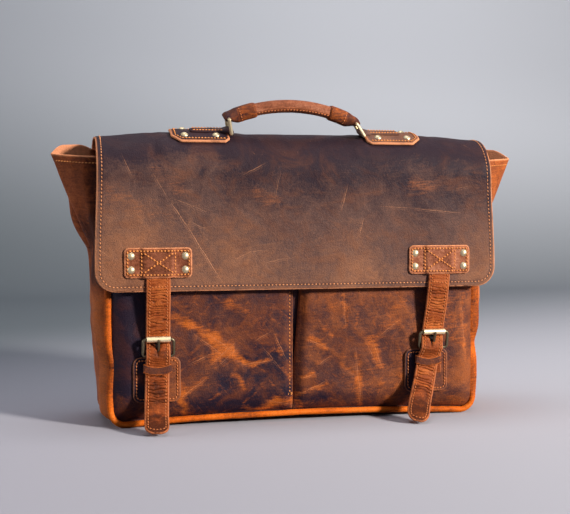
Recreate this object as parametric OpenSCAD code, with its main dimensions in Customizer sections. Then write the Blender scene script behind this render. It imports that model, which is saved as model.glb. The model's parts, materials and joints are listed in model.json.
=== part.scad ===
// Leather satchel: flap over the front, two buckled straps, rolled top handle

/* [Body] */
// Width of the front and back panels
body_w = 396; // [340:1:440]
// Depth between the outer faces of the front and back panels
body_d = 92; // [80:1:110]
// Height of the front panel's upper edge
front_h = 277; // [250:1:285]
// Thickness of the panel leather
leather_t = 2.2; // [1.6:0.1:3]
// Thickness of the bottom panel
base_t = 2.4; // [1.8:0.1:3.6]
// Height of the divider's upper edge
divider_h = 250; // [180:1:262]
// Distance of the divider's middle behind the middle of the bag
divider_back = 9; // [0:1:20]

/* [Gussets] */
// Thickness of the gusset leather
gusset_t = 2; // [1.4:0.1:2.6]
// Bulge of a gusset beyond the panel's edge, below the ear
gusset_bulge = 18; // [8:1:26]
// Reach of an ear's tip beyond the panel's edge
ear_reach = 58; // [36:1:70]
// Height at which the ear starts to flare
ear_start = 185; // [150:1:210]

/* [Piping] */
// Diameter of the rolled piping
piping_d = 6.4; // [4:0.2:7.4]

/* [Pockets] */
// Height of the pockets' lower seam
pocket_low = 8.5; // [8:0.5:14]
// Height of the pockets' upper edge
pocket_top = 165; // [150:1:200]
// Clear depth inside a pocket
pocket_depth = 10; // [7:0.5:14]
// Thickness of the pocket leather
pocket_t = 2; // [1.4:0.1:2.6]
// Gap between the two pockets along the middle seam
seam_gap = 3; // [1:0.5:6]
// Place of the middle seam from the middle of the bag
seam_x = -6; // [-12:1:12]

/* [Flap] */
// Width of the flap
flap_w = 430; // [410:1:450]
// Thickness of the flap leather
flap_t = 2.2; // [1.6:0.1:3]
// Height of the flap's lower edge
flap_low = 142.5; // [130:0.5:150]
// Radius of the flap's lower corners
flap_corner_r = 20; // [10:1:40]
// Outer radius of the flap's front shoulder
shoulder_r = 45; // [38:1:50]
// Height of the crown
crown_h = 306; // [300:1:320]
// Fall of the flap from the crown to the rear seam
crown_fall = 17; // [10:1:22]
// Clear room between the pockets and the flap
flap_room = 7; // [5:0.5:12]

/* [Strap anchors] */
// Width of a strap anchor
anchor_w = 67; // [60:1:80]
// Height of a strap anchor
anchor_h = 29; // [26:1:36]
// Distance of an anchor from the middle of the bag
anchor_x = 151; // [140:1:160]
// Height of an anchor's middle
anchor_z = 171; // [166:1:185]
// Thickness of the anchor leather
anchor_t = 2; // [1.4:0.1:2.6]
// Radius of an anchor's corners
anchor_corner_r = 4; // [2:0.5:8]

/* [Rivets] */
// Diameter of a rivet's domed head
rivet_d = 8; // [6:0.5:9]
// Height of a rivet's dome
rivet_dome = 2; // [1.2:0.1:2.6]
// Diameter of a rivet's shank
rivet_shank_d = 3; // [2:0.1:3.6]
// Half the distance between rivets across a strap anchor
rivet_dx = 27.5; // [24:0.5:28]
// Half the distance between rivets up a strap anchor
rivet_dz = 7; // [5:0.5:8]

/* [Straps] */
// Width of a strap
strap_w = 24; // [20:0.5:25]
// Thickness of the strap leather
strap_t = 2.5; // [1.8:0.1:3]
// Forward reach of a strap's tip in front of the pockets
strap_curl = 42; // [24:1:60]
// Room between a strap and the pocket, behind the roller
strap_stand = 3; // [2:0.5:5]
// Height of the middle of a strap's tip above the ground
strap_tip_z = 4; // [3:0.5:20]
// Sideways drift of the left strap's tip from its buckle
left_sway = -5.5; // [-20:0.5:20]
// Sideways drift of the right strap's tip from its buckle
right_sway = -30; // [-30:0.5:10]

/* [Buckles] */
// Place of the left buckle across the bag
left_buckle_x = -151; // [-156:1:-146]
// Place of the right buckle across the bag
right_buckle_x = 146; // [142:1:152]
// Height of the roller's axis
roller_z = 93; // [90:0.5:100]
// Diameter of the roller
roller_d = 6.4; // [5:0.2:7]
// Length of the roller
roller_l = 24; // [20:0.5:26]
// Diameter of the bar in the roller
roller_bar_d = 2.8; // [2:0.1:3.2]
// Diameter of the frame's wire and heel bar
wire_d = 3.2; // [2.6:0.1:3.6]
// Clear width inside the frame
frame_clear = 28; // [27:0.5:32]
// Height of the heel bar's axis
heel_z = 75.5; // [74:0.5:78]
// Diameter of the prong
prong_d = 2.6; // [2:0.1:3]
// Length of the prong from the heel bar's axis
prong_l = 18.5; // [18:0.5:27]

/* [Buckle leather] */
// Width of the stitched buckle patch
patch_w = 47; // [42:1:52]
// Height of the patch's upper edge
patch_top = 73; // [70:0.5:73]
// Height of the patch's lower edge
patch_low = 28; // [26:0.5:36]
// Thickness of the patch
patch_t = 2; // [1.4:0.1:2.6]
// Radius of the patch's corners
patch_corner_r = 7; // [3:0.5:12]
// Width of the chape
chape_w = 20; // [16:0.5:24]
// Thickness of the chape leather
chape_t = 1.6; // [1.2:0.1:2]
// Height of the chape's lower end
chape_low = 48; // [40:1:54]
// Height of the keeper's middle
keeper_z = 63.5; // [62:0.5:66]
// Height of the keeper band
keeper_h = 9; // [7:0.5:10]
// Thickness of the keeper leather
keeper_t = 1.2; // [1:0.1:1.8]

/* [Handle] */
// Half the distance between the two handle anchors' loops
handle_half = 72; // [64:1:84]
// Forward tilt of the handle on the shoulder, in degrees
handle_tilt = 18; // [10:1:22]
// Diameter of the ring wire
ring_wire_d = 3.5; // [2.8:0.1:4]
// Distance between the ring's two long bars
ring_l = 15; // [13:0.5:18]
// Clear width of the ring
ring_clear = 23; // [21.5:0.5:28]
// Lean of the left ring, in degrees
left_lean = -12; // [-20:1:10]
// Lean of the right ring, in degrees
right_lean = -36; // [-40:1:0]
// Diameter of the rolled grip
grip_d = 13; // [11:0.5:15]
// Diameter of the cord core in the grip
core_d = 8.8; // [7:0.2:9.4]
// Radius of the grip's arch
grip_r = 158; // [130:1:200]
// Rise of the grip's middle above the ring bars
grip_rise = 14; // [11:0.5:20]
// Half the length of the grip between its ends
grip_half = 56; // [50:1:58]
// Width of the leather loops round the ring bars
loop_w = 20; // [16:0.5:21]
// Thickness of the handle anchor leather
plate_t = 3.2; // [2.4:0.1:4]
// Length of a handle anchor beyond its loop
plate_l = 58; // [50:1:64]
// Angle that a handle anchor covers on the shoulder
plate_span = 50; // [44:1:52]

/* [Hidden] */
$fn = 48;

// Room between leather layers that lie on each other
lay = 0.2;
// Room beside a sewn edge
edge_room = 0.3;
// Running clearance of a pin in its bore
run_clear = 0.1;
// Room for a strap beside metal or leather that it slides on
slide_room = 0.4;
// Slack of the right loop round its ring bar, where the linkage is open
open_slack = 1;
// Overshoot of a cut
cut = 1;

// Colours of the leather and the metal
flap_colour = [0.27, 0.18, 0.13];
pocket_colour = [0.36, 0.19, 0.10];
gusset_colour = [0.60, 0.30, 0.12];
strap_colour = [0.50, 0.25, 0.11];
metal_colour = [0.80, 0.74, 0.60];

// Body planes
panel_half = body_w / 2;
front_face = -body_d / 2;
back_face = body_d / 2;
inside_half = body_d / 2 - leather_t - edge_room;
panel_lift = edge_room;

// Pocket planes
pocket_back = front_face - lay;
pocket_face = pocket_back - pocket_t - pocket_depth;

// Flap: front shoulder arc, then a wide arc back to the rear seam
leaf_back = pocket_face - flap_room;
leaf_face = leaf_back - flap_t;
shoulder_y = leaf_face + shoulder_r;
shoulder_z = crown_h - shoulder_r;
rear_run = back_face - shoulder_y;
rear_r = (rear_run * rear_run + crown_fall * crown_fall) / (2 * crown_fall);
rear_z = crown_h - rear_r;
rear_angle = asin(rear_run / rear_r);
seam_z = rear_z + (rear_r - flap_t) * cos(rear_angle);
back_h = seam_z - slide_room;

// Buckle planes, from the pocket outwards
patch_back = pocket_face - lay;
patch_face = patch_back - patch_t;
chape_back = patch_face - lay;
heel_r = wire_d / 2;
chape_r = heel_r + run_clear + chape_t;
heel_y = chape_back - chape_r;
roller_r = roller_d / 2;
strap_back_y = pocket_face - strap_stand - strap_t / 2;
roller_y = strap_back_y - strap_t / 2 - slide_room - roller_r;
strap_front_y = heel_y - chape_r - slide_room - strap_t / 2;
frame_run = [heel_y - roller_y, roller_z - heel_z];
frame_l = norm(frame_run);
frame_tilt = atan2(frame_run[0], frame_run[1]);
arm_x = frame_clear / 2 + heel_r;
frame_corner_r = arm_x - roller_l / 2 - slide_room;
prong_r = prong_d / 2;
prong_tilt = frame_tilt + asin((roller_r + prong_r + run_clear) / frame_l);
prong_loop_w = 4;
prong_loop_r = heel_r + run_clear + 1.3;
prong_slot = prong_loop_w + 1;

// Keeper planes
keeper_back = chape_back - chape_t - lay;
keeper_in_back = keeper_back - keeper_t;
keeper_y = keeper_in_back - 2 * slide_room - strap_t / 2;
keeper_in_front = keeper_y - strap_t / 2 - 2 * slide_room;
keeper_front = keeper_in_front - keeper_t;
keeper_in_w = strap_w + 6 * slide_room;

// Share of the sway that a strap has reached at the heel bar and at the keeper
sway_heel = 0.1;
sway_keeper = 0.2;

// Strap routes, from the anchor down to the tip
strap_flap_y = leaf_face - lay - strap_t / 2;
fall = keeper_z - strap_tip_z;
function route(ax, bx, sway) = [
    [ax, strap_flap_y, anchor_z + anchor_h / 4],
    [ax, strap_flap_y, anchor_z - anchor_h / 2],
    [ax + (bx - ax) / 5, strap_flap_y, flap_low],
    [(ax + bx) / 2, (strap_flap_y + strap_back_y) / 2, (flap_low + roller_z) / 2],
    [bx, strap_back_y, roller_z],
    [bx + sway * sway_heel / 2, (strap_back_y + strap_front_y) / 2, (roller_z + heel_z) / 2],
    [bx + sway * sway_heel, strap_front_y, heel_z],
    [bx + sway * sway_keeper, keeper_y, keeper_z],
    [bx + sway * 0.4, keeper_y - strap_curl * 0.12, strap_tip_z + fall * 0.6],
    [bx + sway * 0.7, keeper_y - strap_curl * 0.45, strap_tip_z + fall * 0.24],
    [bx + sway, pocket_face - strap_curl, strap_tip_z]
];
left_route = route(-anchor_x, left_buckle_x, left_sway);
right_route = route(anchor_x, right_buckle_x, right_sway);

// Anchor build-up over the strap end
anchor_back = leaf_face - lay / 2;
anchor_face = anchor_back - anchor_t;
channel_w = strap_w + 2 * slide_room;
channel_t = strap_t + slide_room;
hump_w = channel_w + 2 * anchor_t;

// Handle, in a frame at the shoulder's axis turned forward by the tilt
ring_wire_r = ring_wire_d / 2;
bore_r = ring_wire_r + run_clear;
plate_r = shoulder_r + lay;
plate_top_r = plate_r + plate_t;
eye_r = bore_r + 1.8;
eye_z = plate_r + eye_r;
ring_half = ring_clear / 2 + ring_wire_r;
left_bar = [-handle_half + ring_l * sin(left_lean), eye_z + ring_l * cos(left_lean)];
right_bar = [handle_half + ring_l * sin(right_lean), eye_z + ring_l * cos(right_lean)];
handle_mid = (left_bar + right_bar) / 2;
handle_bars = norm(right_bar - left_bar);
handle_level = atan2(right_bar[1] - left_bar[1], right_bar[0] - left_bar[0]);
grip_end = asin(grip_half / grip_r);
sleeve_t = 1.3;
sleeve_in = 5.5;
sleeve_out = 1.2;
loop_eye_r = bore_r + open_slack + 1.6;
neck_t = 2 * (loop_eye_r - sleeve_t);
neck_w = loop_w - 2 * sleeve_t;
rivet_near = 16;
rivet_far = 49;
rivet_row = 13.5;

// Point on a smooth curve through four neighbours
function spline(a, b, c, d, t) =
    0.5 * (2 * b + (c - a) * t + (2 * a - 5 * b + 4 * c - d) * t * t + (3 * b - a - 3 * c + d) * t * t * t);

// Smooth curve through all points of a path
function smooth(p, steps) = concat(
    [for (i = [0 : len(p) - 2]) for (k = [0 : steps - 1])
        spline(p[max(i - 1, 0)], p[i], p[i + 1], p[min(i + 2, len(p) - 1)], k / steps)],
    [p[len(p) - 1]]
);

function pair(a, b, c, d) = [[a, c, b], [a, d, c]];

// Closed skin between two grids of points, rows upwards and columns to the right seen from outside
module skin(outer, inner) {
    rows = len(outer);
    cols = len(outer[0]);
    n = rows * cols;
    polyhedron(
        concat([for (row = outer) each row], [for (row = inner) each row]),
        concat(
            [for (r = [0 : rows - 2]) for (c = [0 : cols - 2]) let (i = r * cols + c)
                each pair(i, i + 1, i + cols + 1, i + cols)],
            [for (r = [0 : rows - 2]) for (c = [0 : cols - 2]) let (i = n + r * cols + c)
                each pair(i, i + cols, i + cols + 1, i + 1)],
            [for (c = [0 : cols - 2]) each pair(c + 1, c, n + c, n + c + 1)],
            [for (c = [0 : cols - 2]) let (i = n - cols + c) each pair(i, i + 1, n + i + 1, n + i)],
            [for (r = [0 : rows - 2]) let (i = r * cols) each pair(i, i + cols, n + i + cols, n + i)],
            [for (r = [0 : rows - 2]) let (i = r * cols + cols - 1)
                each pair(i + cols, i, n + i, n + i + cols)]
        )
    );
}

// Upright plate in the panel plane, from its back face forwards
module upright(w, low, top, back, t, mid = 0) {
    translate([mid - w / 2, back - t, low])
        cube([w, t, top - low]);
}

// Rounded rectangle centred on the origin
module rounded(w, h, r) {
    square([w - 2 * r, h], center = true);
    square([w, h - 2 * r], center = true);
    for (sx = [-1, 1], sy = [-1, 1])
        translate([sx * (w / 2 - r), sy * (h / 2 - r)])
            circle(r);
}

// Cylinder along the width of the bag
module across(r, l, y, z, x = 0) {
    translate([x - l / 2, y, z])
        rotate([0, 90, 0])
            cylinder(r = r, h = l);
}

module back_panel() {
    color(pocket_colour)
        upright(body_w, panel_lift, back_h, back_face, leather_t);
}

module front_panel() {
    color(pocket_colour)
        upright(body_w, panel_lift, front_h, front_face + leather_t, leather_t);
}

module bottom_panel() {
    color(gusset_colour)
        translate([-(panel_half - gusset_t - edge_room), -inside_half, 0])
            cube([2 * (panel_half - gusset_t - edge_room), 2 * inside_half, base_t]);
}

module divider() {
    color(strap_colour)
        upright(body_w - 2 * gusset_t, base_t + lay, divider_h, divider_back + leather_t / 2, leather_t);
}

// Bulge of the gusset at a height, with the ear above ear_start
function bulge(z) =
    gusset_bulge * (0.22 + 0.78 * sin(90 * min(1, z / ear_start)))
    + (ear_reach - gusset_bulge) * max(0, (z - ear_start) / ((front_h + back_h) / 2 - ear_start));

// Fold of the gusset at a height: round below, a sharp V at the ear
function fold(z) = 2.4 - 1.2 * max(0, min(1, (z - ear_start) / (front_h - ear_start)));

function gusset_point(s, t, inset) =
    let (z = panel_lift + t * (front_h + (back_h - panel_lift - front_h) * (s + 1) / 2 - panel_lift))
    [panel_half - inset + bulge(z) * (1 - pow(abs(s), fold(z))), s * inside_half, z];

function gusset_grid(inset) =
    [for (r = [0 : 16]) [for (c = [-6 : 6]) gusset_point(c / 6, r / 16, inset)]];

module right_gusset() {
    color(gusset_colour)
        skin(gusset_grid(0), gusset_grid(gusset_t));
}

module left_gusset() {
    mirror([1, 0, 0])
        right_gusset();
}

module piping(y) {
    color(gusset_colour) {
        across(piping_d / 2, body_w - piping_d, y, piping_d / 2 + lay);
        for (side = [-1, 1])
            translate([side * (body_w - piping_d) / 2, y, piping_d / 2 + lay])
                sphere(piping_d / 2);
    }
}

module front_piping() {
    piping(front_face - piping_d / 2 - lay);
}

module back_piping() {
    piping(back_face + piping_d / 2 + lay);
}

// Pillow of a pocket: flat in the middle, drawn in at its sewn edges
function pillow(u, v) = (1 - pow(abs(2 * u - 1), 10)) * (1 - pow(1 - min(1, v / 0.16), 3));

function pocket_grid(x0, x1, back) =
    [for (r = [0 : 12]) let (v = pow(r / 12, 2))
        [for (c = [0 : 14]) let (u = 0.5 - 0.5 * cos(180 * c / 14))
            [x0 + u * (x1 - x0), back - pocket_depth * pillow(u, v), pocket_low + v * (pocket_top - pocket_low)]]];

module pocket(x0, x1) {
    color(pocket_colour)
        skin(pocket_grid(x0, x1, pocket_back - pocket_t), pocket_grid(x0, x1, pocket_back));
}

module left_pocket() {
    pocket(-panel_half, seam_x - seam_gap / 2);
}

module right_pocket() {
    pocket(seam_x + seam_gap / 2, panel_half);
}

module buckle_patch(bx, sway) {
    color(strap_colour)
        translate([bx + sway * sway_keeper, patch_back, (patch_top + patch_low) / 2])
            rotate([90, 0, 0])
                linear_extrude(patch_t)
                    rounded(patch_w, patch_top - patch_low, patch_corner_r);
}

module left_buckle_patch() {
    buckle_patch(left_buckle_x, left_sway);
}

module right_buckle_patch() {
    buckle_patch(right_buckle_x, right_sway);
}

// Leather loop round the heel bar, slotted for the prong, with its tail on the patch
module chape(bx) {
    color(strap_colour)
        difference() {
            union() {
                across(chape_r, chape_w, heel_y, heel_z, bx);
                upright(chape_w, chape_low, heel_z, chape_back, chape_t, bx);
            }
            across(heel_r + run_clear, chape_w + 2 * cut, heel_y, heel_z, bx);
            translate([bx - prong_slot / 2, heel_y - chape_r - cut, heel_z - chape_r - cut])
                cube([prong_slot, 2 * (chape_r + cut), 2 * (chape_r + cut)]);
        }
}

module left_chape() {
    chape(left_buckle_x);
}

module right_chape() {
    chape(right_buckle_x);
}

module keeper(bx, sway) {
    mid = bx + sway * sway_keeper;
    low = keeper_z - keeper_h / 2;
    top = keeper_z + keeper_h / 2;
    color(strap_colour)
        difference() {
            upright(keeper_in_w + 2 * keeper_t, low, top, keeper_back, keeper_back - keeper_front, mid);
            upright(keeper_in_w, low - cut, top + cut, keeper_in_back, keeper_in_back - keeper_in_front, mid);
        }
}

module left_keeper() {
    keeper(left_buckle_x, left_sway);
}

module right_keeper() {
    keeper(right_buckle_x, right_sway);
}

// Quarter turn of the frame's wire, in the frame's plane
module frame_corner(turn) {
    rotate([90, 0, 0])
        rotate([0, 0, turn])
            rotate_extrude(angle = 90)
                translate([frame_corner_r, 0])
                    circle(heel_r);
}

// Wire frame with round corners, whose roller bar is turned down between them
module buckle_frame(bx) {
    run = arm_x - frame_corner_r;
    far = frame_l - frame_corner_r;
    color(metal_colour)
        translate([bx, heel_y, heel_z])
            rotate([frame_tilt, 0, 0]) {
                across(heel_r, 2 * run, 0, 0);
                across(roller_bar_d / 2, 2 * (run + lay), 0, frame_l);
                for (side = [-1, 1])
                    translate([side * arm_x, 0, frame_corner_r])
                        cylinder(r = heel_r, h = far - frame_corner_r);
                translate([run, 0, far])
                    frame_corner(0);
                translate([-run, 0, far])
                    frame_corner(90);
                translate([-run, 0, frame_corner_r])
                    frame_corner(180);
                translate([run, 0, frame_corner_r])
                    frame_corner(270);
            }
}

module left_buckle_frame() {
    buckle_frame(left_buckle_x);
}

module right_buckle_frame() {
    buckle_frame(right_buckle_x);
}

module roller(bx) {
    color(metal_colour)
        difference() {
            across(roller_r, roller_l, roller_y, roller_z, bx);
            across(roller_bar_d / 2 + run_clear, roller_l + 2 * cut, roller_y, roller_z, bx);
        }
}

module left_roller() {
    roller(left_buckle_x);
}

module right_roller() {
    roller(right_buckle_x);
}

// Straight rod along the prong's line
module prong_rod(bx, r, l) {
    translate([bx, heel_y, heel_z])
        rotate([prong_tilt, 0, 0]) {
            cylinder(r = r, h = l);
            translate([0, 0, l])
                sphere(r);
        }
}

module prong(bx) {
    color(metal_colour)
        difference() {
            union() {
                across(prong_loop_r, prong_loop_w, heel_y, heel_z, bx);
                prong_rod(bx, prong_r, prong_l);
            }
            across(heel_r + run_clear, prong_loop_w + 2 * cut, heel_y, heel_z, bx);
        }
}

module left_prong() {
    prong(left_buckle_x);
}

module right_prong() {
    prong(right_buckle_x);
}

// Arc of leather about an axis across the bag, between two angles forward of upright
module shell_arc(r, t, w, from, to, y, z, x = 0) {
    translate([x, y, z])
        rotate([0, 90, 0])
            rotate([0, 0, 180 + from])
                rotate_extrude(angle = to - from)
                    translate([r - t, -w / 2])
                        square([t, w]);
}

// Place things on the shoulder at an angle forward of upright
module on_shoulder(angle) {
    translate([0, shoulder_y, shoulder_z])
        rotate([angle, 0, 0])
            children();
}

module handle_rivet_places(side) {
    for (row = [-1, 1], x = [rivet_near, rivet_far])
        on_shoulder(handle_tilt + row * rivet_row)
            translate([side * (handle_half + x), 0, 0])
                children();
}

module strap_rivet_places(side) {
    for (sx = [-1, 1], sz = [-1, 1])
        translate([side * anchor_x + sx * rivet_dx, 0, anchor_z + sz * rivet_dz])
            rotate([90, 0, 0])
                children();
}

// Hole for a rivet's shank
module rivet_hole() {
    cylinder(d = rivet_shank_d + 2 * run_clear, h = 2 * crown_h, center = true);
}

// Domed head at top, shank and flat tail below bottom
module rivet(top, bottom) {
    head_r = rivet_d / 2;
    ball_r = (head_r * head_r + rivet_dome * rivet_dome) / (2 * rivet_dome);
    color(metal_colour) {
        intersection() {
            translate([0, 0, top + rivet_dome - ball_r])
                sphere(ball_r);
            translate([0, 0, top])
                cylinder(d = 2 * rivet_d, h = rivet_d);
        }
        translate([0, 0, bottom - lay])
            cylinder(d = rivet_shank_d, h = top - bottom + lay + rivet_dome / 2);
        translate([0, 0, bottom - lay - rivet_dome / 2])
            cylinder(d = rivet_d * 0.75, h = rivet_dome / 2);
    }
}

// Points of an arc in the side view, between two angles forward of upright
function side_arc(r, from, to, y, z, steps) =
    [for (k = [0 : steps]) let (a = from + (to - from) * k / steps) [y - r * sin(a), z + r * cos(a)]];

// One face of the crown in the side view, from the rear seam to the front of the shoulder
function crown_line(inset) = concat(
    side_arc(rear_r - inset, -rear_angle, 0, shoulder_y, rear_z, 8),
    [for (k = [1 : 18]) side_arc(shoulder_r - inset, 0, 90, shoulder_y, shoulder_z, 18)[k]]
);

module flap_crown() {
    under = crown_line(flap_t);
    color(flap_colour)
        difference() {
            translate([-flap_w / 2, 0, 0])
                rotate([90, 0, 90])
                    linear_extrude(flap_w)
                        polygon(concat(crown_line(0), [for (k = [len(under) - 1 : -1 : 0]) under[k]]));
            for (side = [-1, 1])
                handle_rivet_places(side)
                    rivet_hole();
        }
}

module flap_front() {
    leaf_h = shoulder_z - edge_room - flap_low;
    color(flap_colour)
        difference() {
            translate([0, leaf_back, flap_low])
                rotate([90, 0, 0])
                    linear_extrude(flap_t) {
                        translate([-flap_w / 2, flap_corner_r])
                            square([flap_w, leaf_h - flap_corner_r]);
                        translate([-flap_w / 2 + flap_corner_r, 0])
                            square([flap_w - 2 * flap_corner_r, leaf_h]);
                        for (side = [-1, 1])
                            translate([side * (flap_w / 2 - flap_corner_r), flap_corner_r])
                                circle(flap_corner_r);
                    }
            for (side = [-1, 1])
                strap_rivet_places(side)
                    rivet_hole();
        }
}

// Patch that holds the strap's end in a channel
module strap_anchor(side) {
    color(strap_colour)
        difference() {
            translate([side * anchor_x, anchor_back, anchor_z])
                rotate([90, 0, 0]) {
                    linear_extrude(anchor_t)
                        rounded(anchor_w, anchor_h, anchor_corner_r);
                    translate([-hump_w / 2, -anchor_h / 2, 0])
                        cube([hump_w, anchor_h, channel_t + anchor_t]);
                }
            upright(channel_w, anchor_z - anchor_h / 2 - cut, anchor_z + anchor_h / 4 + slide_room,
                anchor_back + cut, channel_t + cut, side * anchor_x);
            strap_rivet_places(side)
                rivet_hole();
        }
}

module left_strap_anchor() {
    strap_anchor(-1);
}

module right_strap_anchor() {
    strap_anchor(1);
}

module strap_rivets() {
    for (side = [-1, 1])
        strap_rivet_places(side)
            rivet(-anchor_face + lay / 2, -leaf_back);
}

// One face of a strap: rows from the tip upwards, edges left and right
function strap_face(p, offset) =
    let (n = len(p) - 1)
    [for (i = [n : -1 : 0])
        let (d = p[min(i + 1, n)] - p[max(i - 1, 0)])
        let (across_t = [0, d[2], -d[1]] / norm([d[1], d[2]]))
        let (left = norm(p[n] - p[i]) / strap_w)
        let (half = strap_w / 2 * sqrt(1 - pow(1 - min(1, 0.15 + left), 4)))
        [for (side = [-1, 1]) p[i] + [side * half, 0, 0] + across_t * offset]];

module strap(path, bx) {
    p = smooth(path, 5);
    color(strap_colour)
        difference() {
            skin(strap_face(p, strap_t / 2), strap_face(p, -strap_t / 2));
            prong_rod(bx, prong_r + slide_room, prong_l);
        }
}

module left_strap() {
    strap(left_route, left_buckle_x);
}

module right_strap() {
    strap(right_route, right_buckle_x);
}

// Curved plate on the shoulder with a tongue and an eye for the ring bar
module handle_anchor(side) {
    mid = side * (handle_half + eye_r + plate_l / 2);
    color(strap_colour)
        difference() {
            union() {
                shell_arc(plate_top_r, plate_t, plate_l, handle_tilt - plate_span / 2,
                    handle_tilt + plate_span / 2, shoulder_y, shoulder_z, mid);
                on_shoulder(handle_tilt) {
                    translate([side * handle_half, 0, eye_z])
                        rotate([90, 0, 0])
                            cylinder(r = eye_r, h = loop_w, center = true);
                    translate([side * (handle_half + eye_r), 0, (plate_r + lay + eye_z) / 2])
                        cube([2 * eye_r, loop_w, eye_z - plate_r - lay], center = true);
                }
            }
            on_shoulder(handle_tilt)
                translate([side * handle_half, 0, eye_z])
                    rotate([90, 0, 0])
                        cylinder(r = bore_r, h = loop_w + 2 * cut, center = true);
            handle_rivet_places(side)
                rivet_hole();
        }
}

module left_handle_anchor() {
    handle_anchor(-1);
}

module right_handle_anchor() {
    handle_anchor(1);
}

module handle_rivets() {
    for (side = [-1, 1])
        handle_rivet_places(side)
            rivet(plate_top_r + lay / 2, shoulder_r - flap_t - lay / 2);
}

// Rectangular ring whose lower bar lies in the anchor's eye
module ring(x, lean) {
    color(metal_colour)
        on_shoulder(handle_tilt)
            translate([x, 0, eye_z])
                rotate([0, lean, 0]) {
                    for (z = [0, ring_l])
                        translate([0, 0, z])
                            rotate([90, 0, 0])
                                cylinder(r = ring_wire_r, h = 2 * ring_half, center = true);
                    for (y = [-ring_half, ring_half])
                        translate([0, y, 0]) {
                            cylinder(r = ring_wire_r, h = ring_l);
                            for (z = [0, ring_l])
                                translate([0, 0, z])
                                    sphere(ring_wire_r);
                        }
                }
}

module left_ring() {
    ring(-handle_half, left_lean);
}

module right_ring() {
    ring(handle_half, right_lean);
}

// Handle frame: origin midway between the ring bars, first axis along them
module on_handle() {
    on_shoulder(handle_tilt)
        translate([handle_mid[0], 0, handle_mid[1]])
            rotate([0, -handle_level, 0])
                children();
}

// Part of the grip's arch as a round bar, between two angles from its middle
module arch(r, from, to) {
    translate([0, 0, grip_rise - grip_r])
        rotate([90, 0, 0])
            rotate([0, 0, 90 - to])
                rotate_extrude(angle = to - from, $fn = 96)
                    translate([grip_r, 0])
                        circle(r);
}

module handle_grip() {
    color(strap_colour)
        on_handle()
            difference() {
                arch(grip_d / 2, -grip_end, grip_end);
                arch(core_d / 2 + run_clear, -grip_end - cut, grip_end + cut);
            }
}

module handle_core() {
    color(gusset_colour)
        on_handle()
            arch(core_d / 2, -grip_end, grip_end);
}

// Sleeve over the grip's end and an eye round the ring's upper bar
module handle_loop(side, slack) {
    eye = bore_r + slack;
    near = grip_r * sin(grip_end + sleeve_out);
    near_z = grip_rise - grip_r + grip_r * cos(grip_end + sleeve_out);
    run = norm([handle_bars / 2 - near, near_z]);
    color(flap_colour)
        on_handle()
            mirror([side < 0 ? 1 : 0, 0, 0])
                difference() {
                    union() {
                        arch(grip_d / 2 + sleeve_t, grip_end - sleeve_in, grip_end + sleeve_out);
                        translate([handle_bars / 2, 0, 0]) {
                            rotate([90, 0, 0])
                                cylinder(r = loop_eye_r, h = loop_w, center = true);
                            rotate([0, atan2(near_z, handle_bars / 2 - near), 0])
                                translate([-run, -neck_w / 2, -neck_t / 2])
                                    cube([run, neck_w, neck_t]);
                        }
                    }
                    arch(grip_d / 2 + run_clear, grip_end - sleeve_in - cut, grip_end + run_clear);
                    translate([handle_bars / 2, 0, 0])
                        rotate([90, 0, 0])
                            cylinder(r = eye, h = loop_w + 2 * cut, center = true);
                }
}

module left_handle_loop() {
    handle_loop(-1, 0);
}

module right_handle_loop() {
    handle_loop(1, open_slack);
}

back_panel();
front_panel();
left_gusset();
right_gusset();
bottom_panel();
front_piping();
back_piping();
divider();
left_pocket();
right_pocket();
left_buckle_patch();
right_buckle_patch();
left_chape();
right_chape();
left_keeper();
right_keeper();
left_buckle_frame();
right_buckle_frame();
left_roller();
right_roller();
left_prong();
right_prong();
flap_crown();
flap_front();
left_strap_anchor();
right_strap_anchor();
strap_rivets();
left_strap();
right_strap();
left_handle_anchor();
right_handle_anchor();
handle_rivets();
left_ring();
right_ring();
handle_grip();
handle_core();
left_handle_loop();
right_handle_loop();
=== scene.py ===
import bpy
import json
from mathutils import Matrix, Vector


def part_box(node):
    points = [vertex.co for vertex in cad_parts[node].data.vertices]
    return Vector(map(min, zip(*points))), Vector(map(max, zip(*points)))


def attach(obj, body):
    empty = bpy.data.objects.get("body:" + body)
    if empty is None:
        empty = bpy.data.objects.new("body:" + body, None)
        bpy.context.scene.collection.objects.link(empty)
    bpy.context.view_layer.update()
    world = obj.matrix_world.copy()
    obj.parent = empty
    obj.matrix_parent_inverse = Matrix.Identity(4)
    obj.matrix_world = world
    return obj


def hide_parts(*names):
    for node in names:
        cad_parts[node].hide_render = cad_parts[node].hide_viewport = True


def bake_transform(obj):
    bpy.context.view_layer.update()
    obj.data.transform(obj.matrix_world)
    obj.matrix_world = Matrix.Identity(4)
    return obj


bl_info = {
    "name": "Leather satchel",
    "version": (1, 0, 0),
    "blender": (4, 5, 0),
    "location": "View3D > Sidebar > Satchel",
    "description": "Dresses the packed satchel in worn leather, thread and brass",
    "category": "Add Mesh",
}

import json
import math
from typing import NamedTuple

import bpy
import numpy as np
from mathutils import Vector

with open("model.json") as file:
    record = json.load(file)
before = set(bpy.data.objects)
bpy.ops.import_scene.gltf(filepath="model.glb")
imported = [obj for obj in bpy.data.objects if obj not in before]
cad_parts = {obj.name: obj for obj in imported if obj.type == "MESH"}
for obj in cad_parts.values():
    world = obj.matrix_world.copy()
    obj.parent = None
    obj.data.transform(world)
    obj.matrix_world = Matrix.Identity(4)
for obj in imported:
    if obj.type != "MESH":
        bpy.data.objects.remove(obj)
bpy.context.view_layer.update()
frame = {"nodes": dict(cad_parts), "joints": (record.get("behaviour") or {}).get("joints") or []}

MM = 0.001
SIDES = (("left", -1), ("right", 1))
# What the leather's finish reads at each point of its grain side, besides the cut edge and the flesh side
# Of these, crease paints shade into the fold valleys and pit paints the shade inside holes near-black
FIELDS = ("tone", "rub", "scar", "near", "crease", "pit")
FRONTWARDS = np.array([0.0, -1.0, 0.0])


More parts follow.
